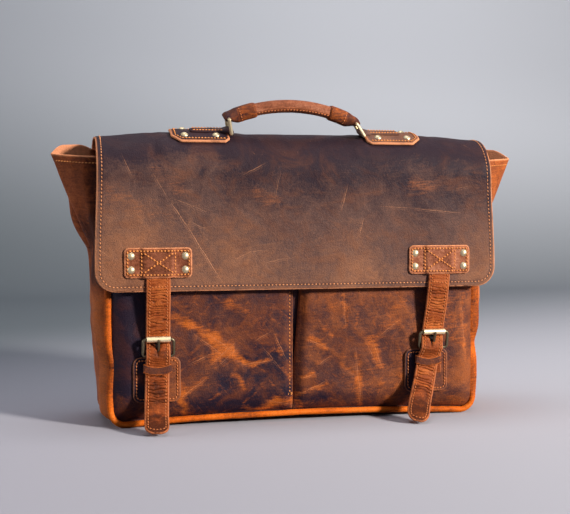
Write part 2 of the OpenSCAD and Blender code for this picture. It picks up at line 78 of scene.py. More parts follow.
def box(node):
    """Lowest and highest corner of a CAD node as arrays."""
    return [np.array(p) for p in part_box(node)]


def middle(node):
    """Middle of a CAD node's box."""
    return sum(box(node)) / 2


def either(side, left, right):
    """The left piece's value or the right one's."""
    return left if side < 0 else right


def joint_place(name):
    """Point on a joint's axis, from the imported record."""
    return np.array([j for j in frame["joints"] if j["name"] == name][0]["pos_m"], float)


def tint(red, green, blue):
    """Linear colour of a tint given in screen values from 0 to 255."""
    c = np.array([red, green, blue]) / 255
    return tuple(float(v) for v in np.where(c < 0.04045, c / 12.92, ((c + 0.055) / 1.055) ** 2.4))


CROWN, LEAF = box("flap_crown"), box("flap_front")
FRONT, BACK = box("front_panel"), box("back_panel")
FLAP_HALF = (LEAF[1][0] - LEAF[0][0]) / 2


def length(name, description, default, **more):
    """A length property with its description."""
    return bpy.props.FloatProperty(
        name=name, description=description, default=float(default), unit="LENGTH", precision=5, **more)


def shade(name, description, rgb):
    """A colour property from a screen tint."""
    return bpy.props.FloatVectorProperty(
        name=name, description=description, default=tint(*rgb), subtype="COLOR", size=3, min=0, max=1)


class SatchelSizes(bpy.types.PropertyGroup):
    """Sizes of the soft pieces that the solids leave open"""
    flap_leather: length("Flap leather", "Thickness of the flap", LEAF[1][1] - LEAF[0][1])
    panel_leather: length("Panel leather", "Thickness of the panels", FRONT[1][1] - FRONT[0][1])
    thin_leather: length("Thin leather", "Thickness of pockets, patches and gussets", 2 * MM)
    strap_leather: length("Strap leather", "Thickness of a strap", 2.5 * MM)
    strap_width: length("Strap width", "Width of a strap", 24 * MM)
    shoulder: length("Shoulder", "Outer radius of the flap's front shoulder", 45 * MM)
    crown_fall: length("Crown fall", "Fall of the flap from the crown to the rear seam", 17 * MM)
    corner: length("Flap corner", "Radius of the flap's lower corners", 20 * MM)
    seam_inset: length("Seam inset", "Distance of the stitching from an edge", 4 * MM)
    stitch_pitch: length("Stitch pitch", "Distance from one stitch to the next", 3.9 * MM)
    stitch_length: length("Stitch length", "Visible length of a stitch", 2.9 * MM)
    thread: length("Thread", "Thickness of the thread", 1.3 * MM)
    base_arch: length("Base arch", "Rise of the base in its middle", 5 * MM)
    handle_tilt: bpy.props.FloatProperty(
        name="Handle tilt", description="Forward tilt of the handle on the shoulder",
        default=math.radians(18), unit="ROTATION")


class SatchelColours(bpy.types.PropertyGroup):
    """Colours of the leather, the thread and the metal"""
    flap_deep: shade("Flap, deep", "Darkest tone of the flap", (44, 30, 38))
    flap_body: shade("Flap, body", "Main tone of the flap", (102, 73, 64))
    flap_pale: shade("Flap, pale", "Palest tone of the flap", (152, 102, 74))
    pocket_deep: shade("Pocket, deep", "Darkest tone of the pockets and panels", (34, 23, 37))
    pocket_body: shade("Pocket, body", "Main tone of the pockets and panels", (90, 51, 41))
    pocket_pale: shade("Pocket, pale", "Palest tone of the pockets and panels", (150, 83, 46))
    strap_deep: shade("Strap, deep", "Darkest tone of straps and handle", (74, 32, 14))
    strap_body: shade("Strap, body", "Main tone of straps and handle", (152, 71, 29))
    strap_pale: shade("Strap, pale", "Palest tone of straps and handle", (204, 112, 54))
    gusset_deep: shade("Gusset, deep", "Darkest tone of the gussets", (70, 32, 20))
    gusset_body: shade("Gusset, body", "Main tone of the gussets", (158, 82, 44))
    gusset_pale: shade("Gusset, pale", "Palest tone of the gussets", (206, 120, 70))
    piping: shade("Piping", "Main tone of the piping", (234, 110, 22))
    piping_pale: shade("Piping, pale", "Palest tone of the piping", (255, 148, 56))
    loop: shade("Loops", "Main tone of the handle loops and keepers", (104, 56, 36))
    rub: shade("Rub", "Tone where the waxed leather is bent or rubbed", (206, 106, 40))
    scratch: shade("Scratch", "Tone of fine scratches", (208, 152, 116))
    raw_edge: shade("Raw edge", "Tone of a cut edge", (232, 154, 108))
    suede: shade("Suede", "Flesh side of the leather", (216, 143, 104))
    thread: shade("Thread", "Tone of the flap's thread", (240, 156, 98))
    seam_thread: shade("Seam thread", "Tone of the thread on anchors, plates, pockets and panels", (252, 158, 78))
    worn_thread: shade("Worn thread", "Tone of the thread on straps, buckle patches and handle", (218, 124, 62))
    grip_body: shade("Grip, body", "Main tone of the handle's grip", (150, 86, 58))
    grip_pale: shade("Grip, pale", "Palest tone of the handle's grip", (204, 138, 106))
    brass: shade("Brass", "Tone of the brass", (246, 224, 182))


def sizes():
    """The sizes set in the scene."""
    return bpy.context.scene.satchel_sizes


def colours():
    """The colours set in the scene."""
    return bpy.context.scene.satchel_colours


# Fields and curves

def unit(v):
    """Vectors scaled to length one."""
    return v / np.maximum(np.linalg.norm(v, axis=-1, keepdims=True), 1e-12)


def facing(way, count):
    """The same direction for each of a number of points."""
    return np.broadcast_to(np.asarray(way, float), (count, 3))


def ease(t):
    """Smooth step from 0 to 1."""
    t = np.clip(t, 0, 1)
    return t * t * (3 - 2 * t)


def bell(d, w):
    """Bell of height one: e to the minus square of distance over width."""
    return np.exp(-(d / w) ** 2)


def ripple(a, b, cell, seed, stretch=1.0):
    """Smooth random field from -1 to 1: random values on a lattice of the cell size, eased between its corners."""
    table = np.random.default_rng(seed).uniform(-1, 1, (64, 64))
    u, v = np.broadcast_arrays(np.asarray(a) / (cell * stretch), np.asarray(b) / cell)
    i, j = np.floor(u).astype(int), np.floor(v).astype(int)
    s, t = ease(u - i), ease(v - j)
    near = table[i % 64, j % 64] * (1 - s) + table[(i + 1) % 64, j % 64] * s
    far = table[i % 64, (j + 1) % 64] * (1 - s) + table[(i + 1) % 64, (j + 1) % 64] * s
    return near * (1 - t) + far * t


def strokes(x, z, table):
    """Sum of brushed strokes on a wandering grid: a bell of the distance to a segment, times the stroke's strength.
    A row of the table is x0, z0, x1, z1, width in millimetres and strength."""
    s = np.array(table, float)
    drift = [2.6 * MM * ripple(x, z, 13 * MM, k) + 1.5 * MM * ripple(x, z, 5 * MM, k + 1) for k in (131, 133)]
    p = np.stack(np.broadcast_arrays(x + drift[0], z + drift[1]), -1)[..., None, :] / MM
    a, d = s[:, 0:2], s[:, 2:4] - s[:, 0:2]
    t = np.clip(((p - a) * d).sum(-1) / np.maximum((d * d).sum(-1), 1e-9), 0, 1)
    gap = np.linalg.norm(p - a - t[..., None] * d, axis=-1)
    return (s[:, 5] * bell(gap, 1.2 * s[:, 4] + 0.5)).sum(-1)


def scars(x, z, table):
    """Fields of thin scratches: the signed distance in millimetres to the nearest stroke's line, which is nought
    along the scratch, and how near the stroke is, times its strength. A row of the table is x0, z0, x1, z1 in
    millimetres and strength."""
    s = np.array(table, float)
    p = np.stack(np.broadcast_arrays(x, z), -1)[..., None, :] / MM
    a, d = s[:, 0:2], s[:, 2:4] - s[:, 0:2]
    t = np.clip(((p - a) * d).sum(-1) / (d * d).sum(-1), 0, 1)
    gap = np.linalg.norm(p - a - t[..., None] * d, axis=-1)
    line = (d[:, 0] * (p - a)[..., 1] - d[:, 1] * (p - a)[..., 0]) / np.linalg.norm(d, axis=-1)
    best = gap.argmin(-1)[..., None]
    near = s[:, 4] * bell(gap, 4.0) * np.sqrt(np.sin(np.pi * np.clip(t, 0.02, 0.98)))
    return np.take_along_axis(line, best, -1)[..., 0], np.take_along_axis(near, best, -1)[..., 0]


def places(span, fine, coarse, zone):
    """Places from 0 to span: fine steps within a zone at both ends, coarse steps between."""
    edge = np.linspace(0, zone, int(round(zone / fine)) + 1)
    between = np.linspace(zone, span - zone, int(round((span - 2 * zone) / coarse)) + 1)
    return np.concatenate([edge[:-1], between, (span - edge[::-1])[1:]])


def smooth_path(points, steps):
    """Curve through all points: a cubic through each point with the slope of its two neighbours."""
    p = np.array(points, float)
    q = np.concatenate([p[:1], p, p[-1:]])
    t = np.linspace(0, 1, steps, endpoint=False)[None, :, None]
    a, b, c, d = (q[k:len(q) - 3 + k, None, :] for k in range(4))
    curve = 0.5 * (2 * b + (c - a) * t + (2 * a - 5 * b + 4 * c - d) * t ** 2
                   + (3 * b - a - 3 * c + d) * t ** 3)
    return np.concatenate([curve.reshape(-1, p.shape[1]), p[-1:]])


def run_of(path):
    """Distance along a path at each of its points."""
    return np.r_[0, np.cumsum(np.linalg.norm(np.diff(path, axis=0), axis=1))]


def spread(path, step):
    """The same path with its points a steady step apart."""
    run = run_of(path)
    at = np.linspace(0, run[-1], max(2, int(round(run[-1] / step)) + 1))
    return np.stack([np.interp(at, run, path[:, k]) for k in range(path.shape[1])], -1)


# Meshes

def make(name, verts, faces, finish, rest=None, **fields):
    """Mesh object at the origin, smooth shaded, with its point fields, its resting places and its finish."""
    mesh = bpy.data.meshes.new(name)
    verts = np.asarray(verts).reshape(-1, 3)
    mesh.from_pydata(verts.tolist(), [], faces)
    mesh.polygons.foreach_set("use_smooth", np.ones(len(mesh.polygons), bool))
    for key, values in fields.items():
        field = mesh.attributes.new(key, "FLOAT", "POINT")
        field.data.foreach_set("value", np.asarray(values, np.float32).ravel())
    field = mesh.attributes.new("rest", "FLOAT_VECTOR", "POINT")
    field.data.foreach_set("vector", np.asarray(verts if rest is None else rest, np.float32).ravel())
    mesh.materials.append(finish)
    mesh.update()
    piece = bpy.data.objects.new(name, mesh)
    bpy.context.scene.collection.objects.link(piece)
    return piece


def quads(rows, cols, wrap=False):
    """Faces of a grid of points, closed round its columns where it wraps."""
    r, c = np.meshgrid(np.arange(rows - 1), np.arange(cols if wrap else cols - 1), indexing="ij")
    n = (c + 1) % cols
    return np.stack([r * cols + c, r * cols + n, (r + 1) * cols + n, (r + 1) * cols + c], -1).reshape(-1, 4)


def sheet_parts(mid, thick, rest=None, **grain):
    """Closed sheet round a grid of mid points: each face is the grid moved half the thickness along the normal,
    and the rim between the faces is half a circle. Fields of the grain side end at the rim."""
    rows, cols = mid.shape[:2]
    count = rows * cols
    normal = unit(np.cross(np.gradient(mid, axis=1), np.gradient(mid, axis=0)))
    half = np.broadcast_to(np.asarray(thick, float) / 2, (rows, cols))[..., None]
    index = np.arange(count).reshape(rows, cols)
    loop = np.concatenate([index[0, :-1], index[:-1, -1], index[-1, :0:-1], index[:0:-1, 0]])
    b, nb, hb = (a.reshape(count, -1)[loop] for a in (mid, normal, half))
    out = unit(np.cross(np.roll(b, -1, 0) - np.roll(b, 1, 0), nb))
    rings = [b + hb * (out * np.cos(a) + nb * np.sin(a)) for a in np.radians([45, 0, -45])]
    verts = np.concatenate([(mid + normal * half).reshape(-1, 3), (mid - normal * half).reshape(-1, 3), *rings])
    chain = [loop, *(2 * count + k * len(loop) + np.arange(len(loop)) for k in range(3)), loop + count]
    rim = [np.stack([p, q, np.roll(q, -1), np.roll(p, -1)], -1) for p, q in zip(chain, chain[1:])]
    face = quads(rows, cols)
    faces = np.concatenate([face, face[:, ::-1] + count, *rim])
    none, ring = np.zeros(count), np.ones(3 * len(loop))
    at_rim = none.copy()
    at_rim[loop] = 0.6
    fields = {"edge": np.concatenate([at_rim, none, ring]), "flesh": np.concatenate([none, none + 1, ring * 0])}
    for key in FIELDS:
        values = np.broadcast_to(np.asarray(grain.get(key, 0.0), float), (rows, cols)).ravel()
        fields[key] = np.concatenate([values, none, *[values[loop]] * 3])
    if rest is not None:
        flat = np.asarray(rest).reshape(count, 3)
        fields["rest"] = np.concatenate([flat, flat, *[flat[loop]] * 3])
    return verts, faces, fields


def join(parts):
    """Several meshes with the same fields as one list of points, faces and fields."""
    first = np.cumsum([0, *(len(part[0]) for part in parts)])
    faces = [np.add(face, shift).tolist() for part, shift in zip(parts, first) for face in part[1]]
    fields = {key: np.concatenate([np.asarray(part[2][key], float).ravel() for part in parts]) for key in parts[0][2]}
    return np.concatenate([part[0] for part in parts]), faces, fields


def sheet(name, mid, thick, finish, rest=None, **grain):
    """One closed leather sheet as a piece."""
    verts, faces, fields = sheet_parts(mid, thick, rest, **grain)
    return make(name, verts, faces.tolist(), finish, **fields)


def cross_axes(path, ref):
    """Two directions square to a path at each of its points: the first along ref, the second square to both."""
    ahead = unit(np.gradient(path, axis=0))
    ref = np.broadcast_to(np.asarray(ref, float), path.shape)
    first = unit(ref - (ref * ahead).sum(-1, keepdims=True) * ahead)
    return first, np.cross(ahead, first)


def tube_parts(path, profile, ref, **grain):
    """Closed tube: a profile of points carried along a path, its first axis along ref made square to the path."""
    count, sides = profile.shape[:2]
    first, second = cross_axes(path, ref)
    verts = path[:, None] + first[:, None] * profile[..., :1] + second[:, None] * profile[..., 1:]
    faces = quads(count, sides, wrap=True).tolist()
    faces.append(list(range(sides))[::-1])
    faces.append(list(range((count - 1) * sides, count * sides)))
    fields = {key: np.broadcast_to(np.asarray(grain.get(key, 0.0), float), (count, sides))
              for key in ("edge", "flesh", *FIELDS)}
    return verts.reshape(-1, 3), faces, fields


def ovals(half_a, half_b, sides=20, power=2.0):
    """Closed profiles, one for each station: an oval, squarer as the power grows."""
    a = np.linspace(0, 2 * np.pi, sides, endpoint=False)
    c, s = np.cos(a), np.sin(a)
    shape = np.stack([np.sign(c) * np.abs(c) ** (2 / power), np.sign(s) * np.abs(s) ** (2 / power)], -1)
    return shape[None] * np.stack(np.broadcast_arrays(half_a, half_b), -1)[:, None, :]


def stitch_parts(rows, pitch=None, slant=0.12, thick=1.0):
    """Rows of stitches: each a short rod along its row, thick in the middle, whose ends dip into the leather."""
    s = sizes()
    pitch = pitch or s.stitch_pitch
    t = np.linspace(-1, 1, 5)
    around = np.linspace(0, 2 * np.pi, 6, endpoint=False)
    radius = 0.5 * thick * s.thread * np.sqrt(1 - (0.96 * t) ** 2)
    lift = 0.42 * s.thread * (1 - t ** 2) - 0.12 * s.thread
    body = quads(5, 6, wrap=True)
    caps = np.array([[3, 2, 1, 0], [5, 4, 3, 0], [24, 25, 26, 27], [24, 27, 28, 29]])
    one = np.concatenate([body, caps])
    verts, faces, total = [], [], 0
    for points, normals in rows:
        run = run_of(points)
        count = max(1, int(round(run[-1] / pitch)))
        at = (np.arange(count) + 0.5) * run[-1] / count

        def look(values, where):
            return np.stack([np.interp(where, run, values[:, k]) for k in range(3)], -1)

        centre, up = look(points, at), unit(look(normals, at))
        ahead = unit(look(points, at + 0.3 * pitch) - look(points, at - 0.3 * pitch))
        side = unit(np.cross(up, ahead))
        ahead = unit(ahead + slant * side)
        side = np.cross(up, ahead)
        rods = (centre[:, None, None] + ahead[:, None, None] * (0.5 * s.stitch_length * t)[:, None, None]
                + up[:, None, None] * lift[:, None, None]
                + radius[:, None, None] * (side[:, None, None] * np.cos(around)[:, None]
                                           + up[:, None, None] * np.sin(around)[:, None]))
        verts.append(rods.reshape(-1, 3))
        faces.append((one[None] + 30 * np.arange(count)[:, None, None]).reshape(-1, 4) + total)
        total += 30 * count
    return np.concatenate(verts), np.concatenate(faces)


def sew(name, rows, body=None, pitch=None, slant=0.12, colour=None, thick=1.0):
    """Stitches of one body as a piece."""
    verts, faces = stitch_parts(rows, pitch, slant, thick)
    piece = make(name, verts, faces.tolist(), thread_finish(colour or colours().seam_thread))
    if body:
        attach(piece, body)
    return piece


def settle(piece, body, slot, *nodes):
    """A finished piece rides on its body and stands for its solids; its slot is not used."""
    if body:
        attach(piece, body)
    if nodes:
        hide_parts(*nodes)
    return piece


# Finishes

def feed(tree, made, inputs):
    """A node's inputs: sockets of other nodes are linked, and plain values are set on the node itself."""
    for key, value in inputs.items():
        if isinstance(value, bpy.types.NodeSocket):
            tree.links.new(value, made.inputs[key])
        else:
            made.inputs[key].default_value = value


def node(tree, kind, inputs=None, **settings):
    """A shader node with its settings and its inputs."""
    made = tree.nodes.new(kind)
    for key, value in settings.items():
        setattr(made, key, value)
    feed(tree, made, inputs or {})
    return made


def calc(tree, operation, a, b=0.0, c=0.0, clamp=False):
    """One step of arithmetic on values or sockets."""
    return node(tree, "ShaderNodeMath", {0: a, 1: b, 2: c}, operation=operation, use_clamp=clamp).outputs[0]


def blend_colour(tree, share, a, b):
    """Colour from a at share 0 to b at share 1."""
    made = node(tree, "ShaderNodeMix", {0: share}, data_type="RGBA")
    ends = ((6, a), (7, b))
    feed(tree, made, {key: v if isinstance(v, bpy.types.NodeSocket) else (*v, 1) for key, v in ends})
    return made.outputs[2]


def dim(share, colour):
    """A colour darkened to a share of itself."""
    return tuple(share * v for v in colour)


def mixed(share, a, b):
    """A share of one colour and the rest of another."""
    return tuple(share * p + (1 - share) * q for p, q in zip(a, b))


def relief(tree, height, strength, depth):
    """Normal of a height field with its strength and its depth in metres."""
    return node(tree, "ShaderNodeBump", {"Height": height, "Strength": strength, "Distance": depth}).outputs[0]


def noise(tree, where, scale, detail=4.0, rough=0.55, warp=0.0):
    """Cloudy value from about 0 to 1 at a number of cells to a metre."""
    return node(tree, "ShaderNodeTexNoise",
                {"Vector": where, "Scale": scale, "Detail": detail, "Roughness": rough, "Distortion": warp}).outputs[0]


def window(tree, value, low, high):
    """0 below low, 1 above high, smooth between."""
    return node(tree, "ShaderNodeMapRange", {0: value, 1: low, 2: high, 3: 0.0, 4: 1.0},
                interpolation_type="SMOOTHSTEP").outputs[0]


def begin(name):
    """An empty node finish with its output and shader."""
    made = bpy.data.materials.new(name)
    made.use_nodes = True
    tree = made.node_tree
    tree.nodes.clear()
    shader = node(tree, "ShaderNodeBsdfPrincipled")
    out = node(tree, "ShaderNodeOutputMaterial")
    tree.links.new(shader.outputs[0], out.inputs[0])
    return made, tree, shader


class Hide(NamedTuple):
    """What sets one leather apart: three tones, the grain's cells to a metre, and the shares of its marks."""
    deep: str
    body: str
    pale: str
    mottle: float
    cloudy: float
    streak: float
    scratch: float
    warmth: float = 0.3
    rubbed: float = 1.0
    hatched: float = 1.0
    cut: float = 1.0


HIDES = {
    "flap": Hide("flap_deep", "flap_body", "flap_pale", 10.0, 0.75, 0.1, 0.3, warmth=0.35, rubbed=0.4, hatched=0.5),
    "pocket": Hide("pocket_deep", "pocket_body", "pocket_pale", 15.0, 1.2, 0.45, 0.3, warmth=0.4, cut=0.25),
    "strap": Hide("strap_deep", "strap_body", "strap_pale", 26.0, 0.9, 0.3, 0.15, cut=0.3),
    "gusset": Hide("gusset_deep", "gusset_body", "gusset_pale", 17.0, 1.0, 0.5, 0.3),
    "piping": Hide("gusset_deep", "piping", "piping_pale", 24.0, 0.4, 0.1, 0.1, warmth=0.1),
    "grip": Hide("strap_deep", "grip_body", "grip_pale", 26.0, 0.8, 0.3, 0.15, warmth=0.2, rubbed=0.6),
    "loop": Hide("pocket_deep", "loop", "strap_body", 30.0, 0.8, 0.3, 0.2),
}
# Near-black colour painted where a strap's hole would show only shade
HOLE_SHADE = (0.006, 0.004, 0.005)


def leather(kind):
    """Waxed pull-up leather: cloudy tones, rubbed streaks, scratches, wrinkles, pores, raw edges and a suede back,
    with painted shade in the crease valleys and near-black painted shade in the holes.
    """
    name = kind + " leather"
    if name in bpy.data.materials:
        return bpy.data.materials[name]
    c, hide = colours(), HIDES[kind]
    deep, body, pale = (tuple(getattr(c, key)) for key in hide[:3])
    made, tree, shader = begin(name)

    def field(key, out="Fac"):
        return node(tree, "ShaderNodeAttribute", attribute_name=key).outputs[out]

    where, tone, rub = field("rest", "Vector"), field("tone"), field("rub")

    def turned(angle, *cell):
        """Resting places turned about the depth axis and measured in cells of the given sizes in millimetres."""
        return node(tree, "ShaderNodeMapping", {"Vector": where, "Rotation": (0.2, angle, 0.15),
                                                "Scale": [v * MM for v in cell]}, vector_type="TEXTURE").outputs[0]

    def times(a, b):
        return calc(tree, "MULTIPLY", a, b)

    def onto(base, value, gain, clamp=False):
        """A value times its gain, added to a base."""
        return calc(tree, "MULTIPLY_ADD", value, gain, base, clamp)

    def centred(value, gain):
        return onto(-0.5 * gain, value, gain)

    def total(first, *rest):
        for value in rest:
            first = calc(tree, "ADD", first, value)
        return first

    def most(first, *rest):
        for value in rest:
            first = calc(tree, "MAXIMUM", first, value)
        return first

    # Clouds of tone from deep to pale
    broad = noise(tree, where, hide.mottle, 5.0, 0.6, 0.7)
    cloud = noise(tree, where, hide.mottle * 4.5, 7.0, 0.68, 0.8)
    fine = noise(tree, where, 480.0, 4.0, 0.65)
    hatch = noise(tree, turned(-0.12, 15, 15, 1.6), 1.0, 4.0, 0.6, 0.5)
    level = total(tone, centred(broad, 2.8 * hide.cloudy), centred(cloud, 2.6 * hide.cloudy),
                  centred(hatch, 1.1 * hide.hatched), centred(fine, 1.1))
    ramp = node(tree, "ShaderNodeValToRGB", {0: onto(0.46, level, 0.4)})
    stops = ramp.color_ramp.elements
    stops[0].position, stops[0].color = 0.08, (*deep, 1)
    stops[1].position, stops[1].color = 0.94, (*pale, 1)
    stops.new(0.5).color = (*body, 1)

    # Warm patches, fewer where the wax is dark
    warm = window(tree, noise(tree, turned(0.3, 46, 46, 30), 1.0, 6.0, 0.66, 1.2), 0.44, 0.7)
    warm = times(warm, onto(0.3, window(tree, tone, -1.5, -0.7), 0.7))
    bare = mixed(hide.rubbed, c.rub, pale)
    colour = blend_colour(tree, times(warm, hide.warmth), ramp.outputs[0], dim(0.5, bare))

    # Rubbed strokes and pulled streaks with torn borders
    torn = total(centred(hatch, 1.9), centred(cloud, 1.3), centred(fine, 0.8))
    pulled = most(*(noise(tree, turned(a, 44, 44, 12), 1.0, 5.0, 0.6, 2.4) for a in (0.85, -0.7)))
    pulled = times(window(tree, onto(pulled, torn, 0.09), 0.55, 0.82), hide.streak)
    pulled = times(pulled, window(tree, tone, -1.3, -0.5))
    rubbed = times(window(tree, onto(rub, torn, 0.55), 0.12, 1.2), window(tree, rub, 0.02, 0.3))
    worn = blend_colour(tree, window(tree, torn, -0.6, 0.5), dim(0.5, bare), bare)
    colour = blend_colour(tree, most(rubbed, pulled), colour, worn)

    # Fine scratches all over, and the scars along their own lines
    line = most(*(window(tree, noise(tree, turned(a, 15, 15, 0.95), 1.0, 2.0, 0.5, 1.2), 0.7, 0.8)
                  for a in (0.65, -0.95, 1.35)))
    line = times(times(line, window(tree, noise(tree, where, 26.0, 3.0), 0.45, 0.7)), hide.scratch)
    wander = total(field("scar"), centred(noise(tree, where, 90.0, 3.0), 2.4))
    first = window(tree, calc(tree, "ABSOLUTE", wander), 0.65, 0.1)
    second = window(tree, calc(tree, "ABSOLUTE", total(wander, 1.7)), 0.5, 0.1)
    scar = times(onto(first, second, 0.5, clamp=True), field("near"))
    line = most(line, times(scar, window(tree, fine, 0.25, 0.55)))
    faded = mixed(0.5, c.scratch, mixed(hide.rubbed, c.rub, c.scratch))
    colour = blend_colour(tree, line, colour, faded)

    # Painted shade in the crease valleys, pores, cut edges, the suede back, and painted shade in the holes
    folds = times(field("crease"), window(tree, fine, 0.15, 0.6))
    colour = blend_colour(tree, folds, colour, dim(0.8, deep))
    pores = node(tree, "ShaderNodeTexVoronoi", {"Vector": where, "Scale": 820.0, "Randomness": 1.0},
                 feature="F1").outputs["Distance"]
    colour = blend_colour(tree, times(window(tree, pores, 0.55, 0.05), 0.4), colour, deep)
    edge = times(field("edge"), window(tree, cloud, 0.25, 0.55))
    colour = blend_colour(tree, edge, colour, mixed(hide.cut, c.raw_edge, body))
    flesh = window(tree, field("flesh"), 0.3, 0.7)
    nap = window(tree, noise(tree, where, 320.0, 5.0, 0.7), 0.25, 0.8)
    colour = blend_colour(tree, flesh, colour, blend_colour(tree, nap, dim(0.72, c.suede), c.suede))
    colour = blend_colour(tree, field("pit"), colour, HOLE_SHADE)

    dull = onto(onto(0.38, cloud, 0.4), line, 0.15)
    dull = onto(dull, flesh, 0.4, clamp=True)
    height = times(fine, 0.6)
    for value, gain in ((pores, 0.45), (cloud, 1.6), (hatch, 0.5 * hide.hatched), (line, -0.5), (folds, -1.0)):
        height = onto(height, value, gain)
    feed(tree, shader, {"Base Color": colour, "Roughness": dull, "Specular IOR Level": 0.13,
                        "Normal": relief(tree, height, 0.6, 0.8 * MM)})
    return made


def thread_finish(colour):
    """Waxed thread: fine twist in its tone and height, soiled in places."""
    name = "thread " + " ".join(f"{v:.3f}" for v in colour)
    if name in bpy.data.materials:
        return bpy.data.materials[name]
    made, tree, shader = begin(name)
    where = node(tree, "ShaderNodeAttribute", attribute_name="rest").outputs["Vector"]
    twist = noise(tree, where, 1500.0, 2.0)
    soil = noise(tree, where, 45.0, 4.0)
    shown = blend_colour(tree, window(tree, soil, 0.3, 0.7), dim(0.55, colour), colour)
    shown = blend_colour(tree, window(tree, twist, 0.3, 0.7), dim(0.75, colour), shown)
    feed(tree, shader, {"Base Color": shown, "Roughness": 0.6, "Normal": relief(tree, twist, 0.5, 0.3 * MM)})
    return made


TARNISH = (0.72, 0.64, 0.5)


def brass_finish(name, share):
    """Worn pale brass at a share of its brightness, the share painting how much light the part catches: darker tarnish
    in patches, fine brushing and dull spots.
    """
    if name in bpy.data.materials:
        return bpy.data.materials[name]
    made, tree, shader = begin(name)
    where = node(tree, "ShaderNodeTexCoord").outputs["Object"]
    patch = noise(tree, where, 160.0, 5.0, 0.65, 0.4)
    brush = noise(tree, where, 1900.0, 2.0)
    bright = dim(share, colours().brass)
    tarnish = tuple(v * k for v, k in zip(bright, TARNISH))
    colour = blend_colour(tree, window(tree, patch, 0.52, 0.78), bright, tarnish)
    dull = calc(tree, "MULTIPLY_ADD", patch, 0.3, 0.3)
    feed(tree, shader, {"Base Color": colour, "Metallic": 1.0, "Roughness": dull,
                        "Normal": relief(tree, brush, 0.12, 0.2 * MM)})
    return made


def cord_finish():
    """Twisted cord: slanting strands in its tone and height, with loose fibres."""
    made, tree, shader = begin("cord")
    where = node(tree, "ShaderNodeTexCoord").outputs["Object"]
    strand = node(tree, "ShaderNodeTexWave", {"Vector": where, "Scale": 160.0, "Distortion": 1.5, "Detail": 2.0},
                  bands_direction="DIAGONAL").outputs["Fac"]
    suede = colours().suede
    colour = blend_colour(tree, window(tree, strand, 0.1, 0.7), dim(0.5, suede), suede)
    fibres = window(tree, noise(tree, where, 900.0, 3.0), 0.3, 0.7)
    colour = blend_colour(tree, fibres, dim(0.6, suede), colour)
    feed(tree, shader, {"Base Color": colour, "Roughness": 0.9, "Normal": relief(tree, strand, 0.5, 0.6 * MM)})
    return made


# Flap

FLAP_SCARS = (
    (-158, 263, -139, 234, 0.35), (-139, 234, -119, 205, 0.7), (-121, 208, -86, 152, 1.0),
    (-137, 237, -97, 221, 0.4), (-117, 212, -101, 205, 0.5), (-189, 277, -180, 259, 0.4),
    (-60, 262, -42, 271, 0.45), (-74, 172, -58, 181, 0.5), (-58, 181, -42, 183, 0.5),
    (-54, 183, -45, 170, 0.4), (-40, 170, -12, 175, 0.45), (-215, 187, -200, 177, 0.45),
    (48, 248, 42, 224, 0.5), (86, 228, 122, 226, 0.35), (122, 226, 176, 221, 0.5),
    (66, 216, 62, 196, 0.6), (-24, 262, -30, 236, 0.3), (168, 246, 190, 250, 0.3),
)
FLAP_RUBS = (
    (-51, 241, -28, 235, 6, 0.5), (-206, 242, -190, 236, 14, 0.32), (-165, 224, -146, 219, 12, 0.3),
    (-155, 265, -128, 246, 8, 0.35), (-205, 170, -168, 152, 16, 0.32), (-114, 204, -84, 150, 5, 0.3),
    (120, 252, 132, 246, 9, 0.5), (150, 250, 176, 246, 10, 0.25), (-120, 292, -60, 296, 9, 0.12),
    (20, 293, 92, 296, 9, 0.12), (196, 262, 202, 232, 5, 0.25), (-60, 160, 10, 154, 7, 0.2),
)


def flap_lengths():
    """Lengths of the flap's three runs in the side view: rear arc, shoulder arc and hanging leaf."""
    s = sizes()
    half = s.flap_leather / 2
    shoulder_y = CROWN[0][1] + s.shoulder
    shoulder_z = CROWN[1][2] - s.shoulder
    reach = BACK[1][1] - shoulder_y
    rear_r = (reach ** 2 + s.crown_fall ** 2) / (2 * s.crown_fall)
    rear_angle = math.asin(reach / rear_r)
    return (shoulder_y, shoulder_z, rear_r - half, CROWN[1][2] - rear_r, rear_angle, s.shoulder - half,
            (rear_r - half) * rear_angle, (s.shoulder - half) * math.pi / 2, shoulder_z - LEAF[0][2])


def flap_total():
    """Distance from the rear seam to the flap's lower edge."""
    return sum(flap_lengths()[6:])


